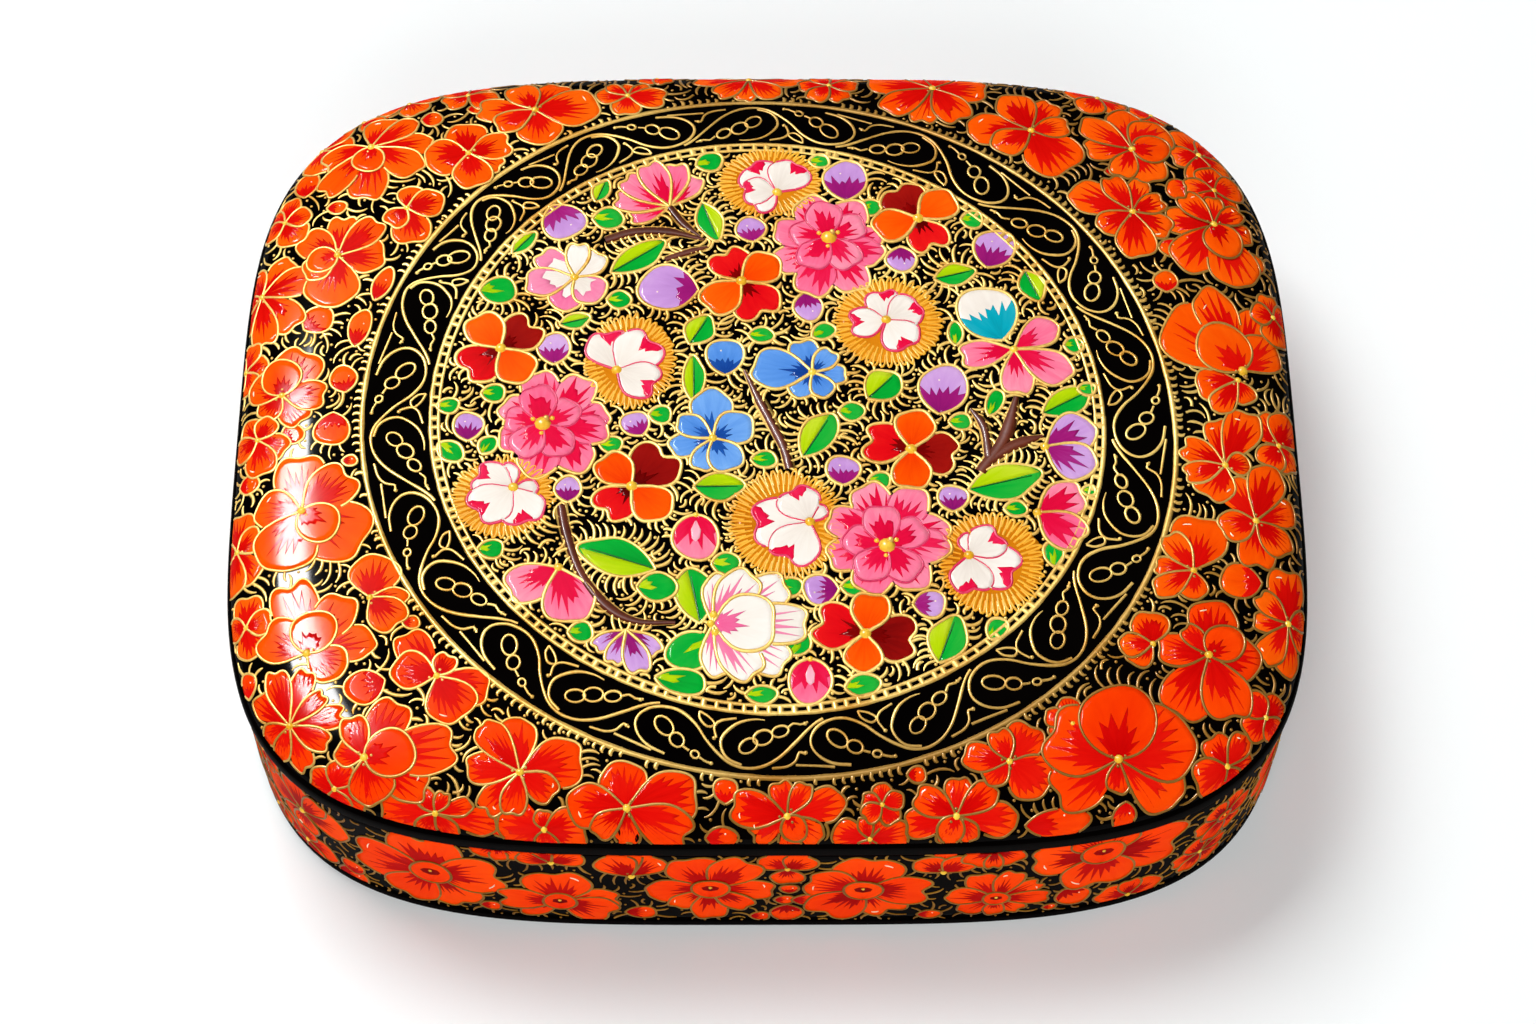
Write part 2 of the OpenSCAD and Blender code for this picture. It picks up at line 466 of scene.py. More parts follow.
def within(points, loop):
    """Which points lie inside a closed loop."""
    x0, y0 = loop[:, 0], loop[:, 1]
    x1, y1 = np.roll(x0, -1), np.roll(y0, -1)
    px, py = points[:, :1], points[:, 1:]
    crossing = ((y0 > py) != (y1 > py)) & (px < (x1 - x0) * (py - y0) / (y1 - y0 + 1e-12) + x0)
    return crossing.sum(1) % 2 == 1


class Painting:
    """Everything painted on one bed, by paint."""

    def __init__(self, bed, seed):
        self.bed = bed
        self.chance = np.random.default_rng(seed)
        self.patches = {}
        self.shapes = []
        self.lines = {}
        self.dots = {}

    def lay(self, petal, paint, outlined="gold", thick=0.2, flower=None, seam=None):
        """Lay a petal over what is there already, and remember its edge. Where petals of one flower
        overlap, their edge is drawn as a seam instead."""
        loop = petal.edge()
        corner_low, corner_high = loop.min(0), loop.max(0)
        below = [-1]
        for shape in self.shapes:
            if (shape["low"] > corner_high).any() or (shape["high"] < corner_low).any():
                continue
            if within(loop, shape["loop"]).any() or within(shape["loop"], loop).any():
                below.append(shape["petal"].coat)
        petal.coat = max(below) + 1
        self.shapes.append({"petal": petal, "loop": loop, "low": corner_low, "high": corner_high,
                            "line": outlined, "thick": thick, "flower": flower, "seam": seam})
        self.patch(petal, paint)
        return petal

    def patch(self, petal, paint, inner=PETAL_FOOT, outer=1.0, low=-PETAL_SIDE, high=PETAL_SIDE, rise=0.0,
              columns=0):
        """A patch of paint on a petal. inner and outer may be rows of numbers, for a ragged edge."""
        rows = int(np.clip(petal.length * (np.max(outer) - np.min(inner)) / ROW_LENGTH, 4, 12)) + 1
        columns = columns or int(np.clip(petal.length * petal.spread * petal.width * 2 / ROW_LENGTH, 7, 15))
        if np.ndim(outer):
            columns = len(outer)
        across = np.linspace(low, high, columns)[None, :] + np.zeros((rows, 1))
        share = np.linspace(0, 1, rows)[:, None]
        along = inner + (outer - np.asarray(inner)) * share + 0 * across
        x, y = petal.place(across, along)
        lift = petal.lift(across, along) + rise
        tint = self.chance.random()
        self.patches.setdefault(paint, []).append((x, y, lift, across, along, tint))

    def flame(self, petal, paint, reach=0.55, fingers=6, low=-0.88, high=0.88, gap=0.66):
        """Ragged strokes pulled from the petal's base towards its tip with a dry brush. gap is how far
        the bare places between them reach, as a share of the strokes."""
        middle = np.linspace(low, high, 2 * fingers + 1)
        crest = reach * (0.6 + 0.4 * np.cos(middle * math.pi / 2))
        crest = crest * self.chance.uniform(0.8, 1.2, len(middle))
        crest[::2] *= gap
        self.patch(petal, paint, outer=np.minimum(crest, PETAL_SIDE), low=low, high=high, rise=STROKE_RISE)

    def dip(self, petal, paint, depth=0.5, fingers=6, gap=0.7):
        """The whole lower part of a petal in a second colour, pulled up into a ragged edge."""
        across = np.linspace(-0.95, 0.95, 2 * fingers + 1)
        ragged = depth * self.chance.uniform(0.85, 1.15, len(across))
        ragged[::2] *= gap
        forward = petal.tip(across) * np.cos(across * petal.spread)
        self.patch(petal, paint, outer=np.minimum(ragged / np.maximum(forward, 0.01), PETAL_END),
                   low=-0.95, high=0.95, rise=STROKE_RISE)

    def line(self, kind, points, thick, lift=0.0, taper=0.0):
        """A line of raised colour through the points. taper thins its end, or both ends if it is 2."""
        points = np.asarray(points, float)
        share = np.linspace(0, 1, len(points))
        count = max(2, len(points) // 4)
        width = thick * np.interp(share, np.linspace(0, 1, count), self.chance.uniform(0.82, 1.16, count))
        if taper:
            width *= LINE_END + (1 - LINE_END) * np.minimum(1, (1 - share) * 3)
        if taper == 2:
            width *= LINE_END + (1 - LINE_END) * np.minimum(1, share * 3)
        self.lines.setdefault(kind, []).append((points, width, np.full(len(points), float(lift))))

    def dot(self, kind, x, y, size, lift=0.0):
        self.dots.setdefault(kind, []).append((x, y, size, lift))

    def outline_petals(self):
        """Every petal's outline, drawn only where no later petal covers it."""
        for index, shape in enumerate(self.shapes):
            if not shape["line"]:
                continue
            loop, hidden = shape["loop"], np.zeros(len(shape["loop"]), bool)
            inner = hidden.copy()
            for other_index, other in enumerate(self.shapes):
                if (other["low"] > shape["high"]).any() or (other["high"] < shape["low"]).any():
                    continue
                covered = within(loop, other["loop"])
                if other_index > index:
                    hidden |= covered
                elif other_index < index and shape["flower"] and other["flower"] == shape["flower"]:
                    inner |= covered
            for shown, kind, thick in ((~hidden & ~inner, shape["line"], shape["thick"]),
                                       (~hidden & inner, shape["seam"], shape["thick"] * 0.5)):
                start = None
                for i in range(len(loop) + 1):
                    if i < len(loop) and shown[i]:
                        start = i if start is None else start
                        continue
                    if start is not None and i - start > 2 and kind:
                        self.line(kind, loop[start:i], thick, shape["petal"].rim())
                    start = None


def smooth_path(points, step=0.45):
    """A smooth curve through given points (Catmull-Rom), with a point about every step mm."""
    points = np.asarray(points, float)
    ends = np.concatenate([[2 * points[0] - points[1]], points, [2 * points[-1] - points[-2]]])
    found = []
    for a, b, c, d in zip(ends, ends[1:], ends[2:], ends[3:]):
        pieces = max(2, int(np.ceil(np.linalg.norm(c - b) / step)))
        t = np.linspace(0, 1, pieces, endpoint=False)[:, None]
        found.append(0.5 * (2 * b + (c - a) * t + (2 * a - 5 * b + 4 * c - d) * t ** 2
                            + (3 * b - a - 3 * c + d) * t ** 3))
    return np.concatenate(found + [points[-1:]])


def paint_mesh(name, painting, paint):
    """One mesh of every patch of one paint. Each patch is closed by a root sunk in the lacquer."""
    places, brush, tints, faces = [], [], [], []
    start = 0
    for x, y, lift, across, along, tint in painting.patches[paint]:
        rows, columns = x.shape
        rim = [(0, j) for j in range(columns)] + [(i, columns - 1) for i in range(1, rows)]
        rim += [(rows - 1, j) for j in range(columns - 2, -1, -1)] + [(i, 0) for i in range(rows - 2, 0, -1)]
        count = len(rim)
        ri, rj = np.array(rim).T
        xs = np.concatenate([x.ravel(), x[ri, rj], [x.mean()]])
        ys = np.concatenate([y.ravel(), y[ri, rj], [y.mean()]])
        root = np.full(count + 1, -PAINT_ROOT)
        spots, _ = painting.bed(xs, ys, np.concatenate([lift.ravel(), root]))
        places.append(spots)
        us = np.concatenate([across.ravel(), across[ri, rj], [0]]) * 0.5 + 0.5
        vs = np.concatenate([along.ravel(), along[ri, rj], [0.5]])
        brush.append(np.stack([us, vs], -1))
        tints.append(np.full(len(xs), tint))
        grid = np.arange(rows * columns).reshape(rows, columns) + start
        cells = [grid[:-1, :-1], grid[1:, :-1], grid[1:, 1:], grid[:-1, 1:]]
        faces += np.stack(cells, -1).reshape(-1, 4).tolist()
        top_rim = grid[ri, rj].tolist()
        first = start + rows * columns
        for k in range(count):
            following = (k + 1) % count
            faces.append([top_rim[k], top_rim[following], first + following, first + k])
            faces.append([first + k, first + following, first + count])
        start += len(xs)
    mesh = bpy.data.meshes.new(name)
    mesh.from_pydata(np.concatenate(places).tolist(), [], faces)
    mesh.update()
    brush = np.concatenate(brush)
    corner = np.zeros(len(mesh.loops), int)
    mesh.loops.foreach_get("vertex_index", corner)
    mesh.uv_layers.new(name="brush").data.foreach_set("uv", brush[corner].ravel())
    mesh.attributes.new("tint", "FLOAT", "POINT").data.foreach_set("value", np.concatenate(tints))
    mesh.polygons.foreach_set("use_smooth", np.ones(len(mesh.polygons), bool))
    return mesh


def trim(mesh, height, keep_above):
    """Cut a mesh level at a height in mm, and close the cut."""
    shape = bmesh.new()
    shape.from_mesh(mesh)
    cut = bmesh.ops.bisect_plane(shape, geom=shape.verts[:] + shape.edges[:] + shape.faces[:],
                                 dist=1e-7, plane_co=(0, 0, height * MM), plane_no=(0, 0, 1),
                                 clear_inner=keep_above, clear_outer=not keep_above)
    rims = [e for e in cut["geom_cut"] if isinstance(e, bmesh.types.BMEdge) and e.is_boundary]
    bmesh.ops.holes_fill(shape, edges=rims)
    shape.to_mesh(mesh)
    shape.free()


# Gold and coloured lines are tubes pressed flat on the lacquer, swept by one node tree along every
# line at once. Each point of a line carries its own width and the direction that the bed faces.
LINE_RELIEF = 0.11
LINE_SIDES = 5
DOT_SEGMENTS = 10
DOT_RINGS = 6


def begin_tree(name, inputs):
    """A node tree with its named inputs, the identifier of each input's socket, and the outputs of
    the input node."""
    tree = bpy.data.node_groups.new(name, "GeometryNodeTree")
    sockets = {}
    for label, kind in inputs:
        socket = tree.interface.new_socket(label, in_out="INPUT", socket_type="NodeSocket" + kind)
        sockets[label] = socket.identifier
    tree.interface.new_socket("Painted", in_out="OUTPUT", socket_type="NodeSocketGeometry")
    return tree, sockets, add_node(tree, "NodeGroupInput").outputs


def end_tree(tree, shapes, finish):
    """Makes the shapes smooth, real and coloured, and hands them out."""
    smooth = add_node(tree, "GeometryNodeSetShadeSmooth", {"Geometry": shapes})
    real = add_node(tree, "GeometryNodeRealizeInstances", {"Geometry": smooth})
    coloured = add_node(tree, "GeometryNodeSetMaterial", {"Geometry": real, "Material": finish})
    add_node(tree, "NodeGroupOutput", {"Painted": coloured})


def line_tree():
    """Sweeps each line as a tube, pressed to the same low relief along the way that its bed faces."""
    tree, sockets, given = begin_tree("raised_line", (("Lines", "Geometry"), ("Sides", "Int"),
                                                      ("Relief", "Float"), ("Finish", "Material")))
    width = add_node(tree, "GeometryNodeInputNamedAttribute", {"Name": "width"}, data_type="FLOAT")
    spot, facing = (add_node(tree, "GeometryNodeInputNamedAttribute", {"Name": label},
                             data_type="FLOAT_VECTOR") for label in ("spot", "facing"))
    curve = add_node(tree, "GeometryNodeMeshToCurve", {"Mesh": given["Lines"]})
    section = add_node(tree, "GeometryNodeCurvePrimitiveCircle",
                       {"Resolution": given["Sides"], "Radius": 1.0})
    swept = add_node(tree, "GeometryNodeCurveToMesh",
                     {"Curve": curve, "Profile Curve": section, "Scale": width, "Fill Caps": True})
    position = add_node(tree, "GeometryNodeInputPosition")
    offset = add_node(tree, "ShaderNodeVectorMath", {0: position, 1: spot}, operation="SUBTRACT")
    rise = add_node(tree, "ShaderNodeVectorMath", {0: offset, 1: facing}, operation="DOT_PRODUCT")
    share = add_node(tree, "ShaderNodeMath", {0: given["Relief"], 1: width}, operation="DIVIDE")
    press = add_node(tree, "ShaderNodeMath", {0: share, 1: 1.0}, operation="SUBTRACT")
    amount = add_node(tree, "ShaderNodeMath", {0: rise.outputs["Value"], 1: press}, operation="MULTIPLY")
    shift = add_node(tree, "ShaderNodeVectorMath", {0: facing, "Scale": amount}, operation="SCALE")
    pressed = add_node(tree, "GeometryNodeSetPosition", {"Geometry": swept, "Offset": shift})
    end_tree(tree, pressed, given["Finish"])
    return tree, sockets


def dot_tree():
    """Sets a bead on each spot."""
    tree, sockets, given = begin_tree("raised_dots", (("Spots", "Geometry"), ("Segments", "Int"),
                                                      ("Finish", "Material")))
    bead = add_node(tree, "GeometryNodeMeshUVSphere",
                    {"Segments": given["Segments"], "Rings": DOT_RINGS, "Radius": 1.0})
    width = add_node(tree, "GeometryNodeInputNamedAttribute", {"Name": "width"}, data_type="FLOAT")
    beads = add_node(tree, "GeometryNodeInstanceOnPoints",
                     {"Points": given["Spots"], "Instance": bead, "Scale": width})
    end_tree(tree, beads, given["Finish"])
    return tree, sockets


RAISED_LINE, LINE_SOCKETS = line_tree()
RAISED_DOTS, DOT_SOCKETS = dot_tree()


def grown(name, mesh, tree, values):
    """Run a node tree on a mesh and keep what it grows as a plain mesh."""
    seed = link(name + "_path", mesh)
    modifier = seed.modifiers.new("grow", "NODES")
    modifier.node_group = tree
    for identifier, value in values.items():
        modifier[identifier] = value
    graph = bpy.context.evaluated_depsgraph_get()
    made = bpy.data.meshes.new_from_object(seed.evaluated_get(graph))
    bpy.data.objects.remove(seed)
    made.name = name
    return made


def level_between(place, bounds):
    """Which places lie between the two heights in mm."""
    return (place[:, 2] > bounds[0] * MM) & (place[:, 2] < bounds[1] * MM)


def line_mesh(name, painting, kind, finish, bounds):
    """Every line of one kind as one mesh, left out where it would run over the bed's bounds."""
    spots, widths, facings, edges = [], [], [], []
    start = 0
    for points, width, lift in painting.lines[kind]:
        place, facing = painting.bed(points[:, 0], points[:, 1], lift)
        keep = level_between(place, bounds)
        spots.append(place[keep])
        widths.append(width[keep] * MM)
        facings.append(facing[keep])
        index = np.cumsum(keep) - 1 + start
        pairs = np.nonzero(keep[:-1] & keep[1:])[0]
        edges += np.stack([index[pairs], index[pairs + 1]], -1).tolist()
        start += int(keep.sum())
    mesh = bpy.data.meshes.new(name + "_lines")
    mesh.from_pydata(np.concatenate(spots).tolist(), edges, [])
    mesh.attributes.new("width", "FLOAT", "POINT").data.foreach_set("value", np.concatenate(widths))
    for label, vectors in (("spot", spots), ("facing", facings)):
        layer = mesh.attributes.new(label, "FLOAT_VECTOR", "POINT")
        layer.data.foreach_set("vector", np.concatenate(vectors).ravel())
    return grown(name, mesh, RAISED_LINE,
                 {LINE_SOCKETS["Sides"]: LINE_SIDES, LINE_SOCKETS["Relief"]: LINE_RELIEF * MM,
                  LINE_SOCKETS["Finish"]: finish})


def dot_mesh(name, painting, kind, finish, bounds):
    """Every dot of one kind as one mesh. A dot is a bead sunk by half its radius."""
    x, y, size, lift = np.array(painting.dots[kind]).T
    place, _ = painting.bed(x, y, lift - 0.5 * size)
    keep = level_between(place, bounds)
    mesh = bpy.data.meshes.new(name + "_spots")
    mesh.from_pydata(place[keep].tolist(), [], [])
    mesh.attributes.new("width", "FLOAT", "POINT").data.foreach_set("value", size[keep] * MM)
    return grown(name, mesh, RAISED_DOTS,
                 {DOT_SOCKETS["Segments"]: DOT_SEGMENTS, DOT_SOCKETS["Finish"]: finish})


# ---------------------------------------------------------------- paints
# Opaque poster colours ground by hand and bound with glue, then sealed under clear varnish. Each
# touch is deeper at the petal's base, paler at its tip, and streaked the way the brush went.
VARNISH = 0.07


def poster_paint(name, deep, body_colour, pale):
    """Opaque colour, matt in itself, so that only the varnish over it shines."""
    finish, tree = new_finish(name)
    brush = add_node(tree, "ShaderNodeUVMap", uv_map="brush").outputs["UV"]
    tint = add_node(tree, "ShaderNodeAttribute", attribute_name="tint").outputs["Fac"]
    pulled = add_node(tree, "ShaderNodeMapping", {"Vector": brush, "Scale": (6.0, 0.8, 1.0)})
    touch = add_node(tree, "ShaderNodeMath", {0: tint, 1: 40.0}, operation="MULTIPLY")
    streaks = add_node(tree, "ShaderNodeTexNoise",
                       {"Vector": pulled, "W": touch,
                        "Scale": 2.2, "Detail": 3.0, "Roughness": 0.6}, noise_dimensions="4D")
    along = add_node(tree, "ShaderNodeSeparateXYZ", {"Vector": brush}).outputs["Y"]
    pull = add_node(tree, "ShaderNodeMath", {0: along, 1: 0.35}, operation="MULTIPLY")
    streaked = add_node(tree, "ShaderNodeMath", {0: streaks, 1: 0.5, 2: pull},
                        operation="MULTIPLY_ADD")
    shaded = add_node(tree, "ShaderNodeMath", {0: tint, 1: 0.3, 2: streaked},
                      operation="MULTIPLY_ADD")
    tone = add_node(tree, "ShaderNodeValToRGB", {"Fac": shaded})
    set_ramp(tone, [(0.3, deep), (0.6, body_colour), (0.95, pale)])
    ridges = add_node(tree, "ShaderNodeBump",
                      {"Height": streaks, "Strength": 0.35, "Distance": 0.05 * MM})
    body = add_node(tree, "ShaderNodeBsdfPrincipled",
                    {"Base Color": tone, "Roughness": 0.4, "IOR": VARNISH_IOR,
                     "Normal": ridges, "Specular IOR Level": 0.0,
                     "Coat Weight": VARNISH, "Coat Roughness": 0.12})
    add_node(tree, "ShaderNodeOutputMaterial", {"Surface": body})
    return finish


def line_paint(name, deep, bright, metallic, roughness, shade_brown=None):
    """Colour drawn on in a raised line. Bronze powder gives it a soft metal shine and a grain. shade_brown
    is a painted shade: the brown that it darkens to away from the left of the middle, where it is brightest."""
    finish, tree = new_finish(name)
    where = add_node(tree, "ShaderNodeTexCoord").outputs["Object"]
    powder = add_node(tree, "ShaderNodeTexNoise", {"Vector": where, "Scale": 1 / (0.5 * MM), "Detail": 2.0})
    wash = add_node(tree, "ShaderNodeTexNoise", {"Vector": where, "Scale": 1 / (9 * MM), "Detail": 2.0})
    mixed = add_node(tree, "ShaderNodeMath", {0: powder, 1: 0.5, 2: wash},
                     operation="MULTIPLY_ADD")
    tone = add_node(tree, "ShaderNodeValToRGB", {"Fac": mixed})
    set_ramp(tone, [(0.5, deep), (0.95, bright)])
    # Painted shade: the line turns brown with distance from a spot left of the lid's middle, where the light
    # falls most.
    if shade_brown:
        place = add_node(tree, "ShaderNodeMapping",
                         {"Vector": where, "Location": (25 * MM, 0.0, 0.0), "Scale": (0.88, 1.45, 0.0)})
        away = add_node(tree, "ShaderNodeVectorMath", {0: place}, operation="LENGTH")
        wear_and_shade = add_node(tree, "ShaderNodeMapRange",
                        {"Value": away.outputs["Value"], "From Min": 72 * MM, "From Max": 92 * MM,
                         "To Min": 0.0, "To Max": 0.9})
        tone = add_node(tree, "ShaderNodeMixRGB", {"Fac": wear_and_shade, "Color1": tone, "Color2": linear(shade_brown)})
    grain = add_node(tree, "ShaderNodeBump",
                     {"Height": powder, "Strength": 0.4, "Distance": 0.04 * MM})
    body = add_node(tree, "ShaderNodeBsdfPrincipled",
                    {"Base Color": tone, "Metallic": metallic, "Roughness": roughness,
                     "Normal": grain, "Specular IOR Level": 0.1,
                     "Coat Weight": VARNISH, "Coat Roughness": 0.1})
    add_node(tree, "ShaderNodeOutputMaterial", {"Surface": body})
    return finish


gold = line_paint("bronze powder gold line with painted shade", "#C48C30", "#EECC72", 0.12, 0.42, shade_brown="#7C5010")
# The wall's gold is a darker copy of the lid's gold: painted shade for the wall, which the lamps light less.
shaded_wall_gold = line_paint("gold line on the wall, darkened as painted shade", "#70460C", "#A07020", 0.1, 0.45)
PAINTS = {
    "orange": poster_paint("vermilion orange poster colour", "#EE3402", "#FA5203", "#FF680C"),
    "deep orange": poster_paint("red orange poster colour", "#EC2802", "#F63A02", "#FE4C06"),
    "flame": poster_paint("scarlet dry-brush strokes", "#C40403", "#DC0E07", "#E81E0C"),
    "wall flame": poster_paint("dark scarlet dry-brush strokes", "#8E0202", "#B40604", "#CE120A"),
    "eye": poster_paint("dark crimson petal root", "#4A0202", "#7A0404", "#A00806"),
    "glint": line_paint("painted cream highlight dashes", "#FFE9B8", "#FFF4D8", 0.0, 0.3),
    "pollen": line_paint("yellow pollen dots", "#E8A81C", "#FFD94A", 0.0, 0.35),
}


# ---------------------------------------------------------------- blossoms
# The border and the wall are crowded with orange blossoms. Each petal is one touch, then scarlet is
# pulled out of the middle with a dry brush, and pollen and a few cream dashes, which are painted highlights,
# go on top.
HEART_NOTCH = 0.16
LARGE_PETAL = 5


def petal_spreads(aims):
    """A half angle for each petal, from the room that its neighbours leave it."""
    order = np.argsort(np.mod(aims, 360))
    ring = np.mod(aims, 360)[order]
    gaps = np.mod(np.roll(ring, -1) - ring, 360)
    room = (np.minimum(gaps, 110) + np.minimum(np.roll(gaps, 1), 110)) / 2
    spreads = np.empty(len(aims))
    spreads[order] = np.clip(room * 0.68, 22, 60)
    return spreads


def every_other(petals):
    """The order that a painter lays petals in: every second one, then those between."""
    petals = list(petals)
    return petals[::2] + petals[1::2]


def blossom(painting, x, y, petals, front=None, disc=0.0, heart=False, paint="orange", flame="flame",
            pull=1.0):
    """A blossom from its middle and its petals' (aim, length). front is a petal curled over the
    middle. disc is the radius of a ringed eye. pull makes the strokes longer or shorter."""
    spreads = petal_spreads(np.array([aim for aim, _ in petals], float))
    for (aim, length), spread in every_other(zip(petals, spreads)):
        notch = HEART_NOTCH if heart else painting.chance.uniform(0.02, 0.1)
        petal = painting.lay(Petal(x, y, aim, length * 1.06, spread, 0.33, notch), paint)
        painting.flame(petal, flame, reach=painting.chance.uniform(0.8, 1.05) * pull,
                       fingers=7 if spread < 40 else 10)
        # A few large petals get a short cream dash near the tip: a painted highlight.
        if length > LARGE_PETAL and painting.chance.random() < 0.3:
            side = painting.chance.choice((-0.35, 0.3))
            across = np.linspace(side - 0.09, side + 0.09, 4)
            px, py = petal.place(across, np.full(4, 0.84))
            painting.line("glint", np.stack([px, py], -1), 0.11, petal.top() + PAINT_SWELL, taper=2)
    size = np.mean([length for _, length in petals])
    crown_top = max(shape["petal"].top() for shape in painting.shapes[-len(petals):])
    if front:
        aim, length = front
        petal = painting.lay(Petal(x, y, aim, length, 84, 0.95, 0.0), paint)
        painting.flame(petal, flame, reach=0.6, fingers=8)
        crown_top = petal.top()
    if disc:
        painting.lay(Petal(x, y - disc, 90, 2 * disc, 88, 1.0, 0.0), paint)
        spot = painting.lay(touch(x, y + 0.1 * disc, 0.6 * disc, 0.95 * disc, 90), "eye", outlined=None)
        painting.dot("pollen", x, y + 0.2 * disc, 0.3, spot.top())
        return
    painting.dot("pollen", x, y, 0.28 + 0.05 * size, crown_top)
    if size > LARGE_PETAL:
        start = painting.chance.uniform(0, 360)
        for angle in np.radians((start, start + 130, start + 235)):
            painting.dot("gold", x + math.cos(angle), y + math.sin(angle), 0.24, crown_top)


def about_middle(x, y, aim, length, *form):
    """A touch of the brush placed by its middle."""
    turn = math.radians(aim)
    return Petal(x - length / 2 * math.cos(turn), y - length / 2 * math.sin(turn), aim, *form)


def cup(x, y, length, width, aim):
    """An egg-shaped bud about its own middle, a little pointed at its stalk."""
    return about_middle(x, y, aim, length, length, 66, 0.75, 0.0, width / length / 0.86)


def touch(x, y, length, width, aim):
    """A round or oval touch about its own middle."""
    return about_middle(x, y, aim, length, length, 88, 1.0, 0.0, width / length)


def orange_bud(painting, x, y, length, width, aim, paint="orange", flame="flame"):
    """A plain bud about its own middle, its lower half dipped in a second colour."""
    bud = painting.lay(cup(x, y, length, width, aim), paint)
    painting.dip(bud, flame, 0.52, 7)
    # A small cream dot on the bud: a painted highlight.
    painting.dot("glint", x + width * 0.18, y + length * 0.12, 0.14, bud.top())


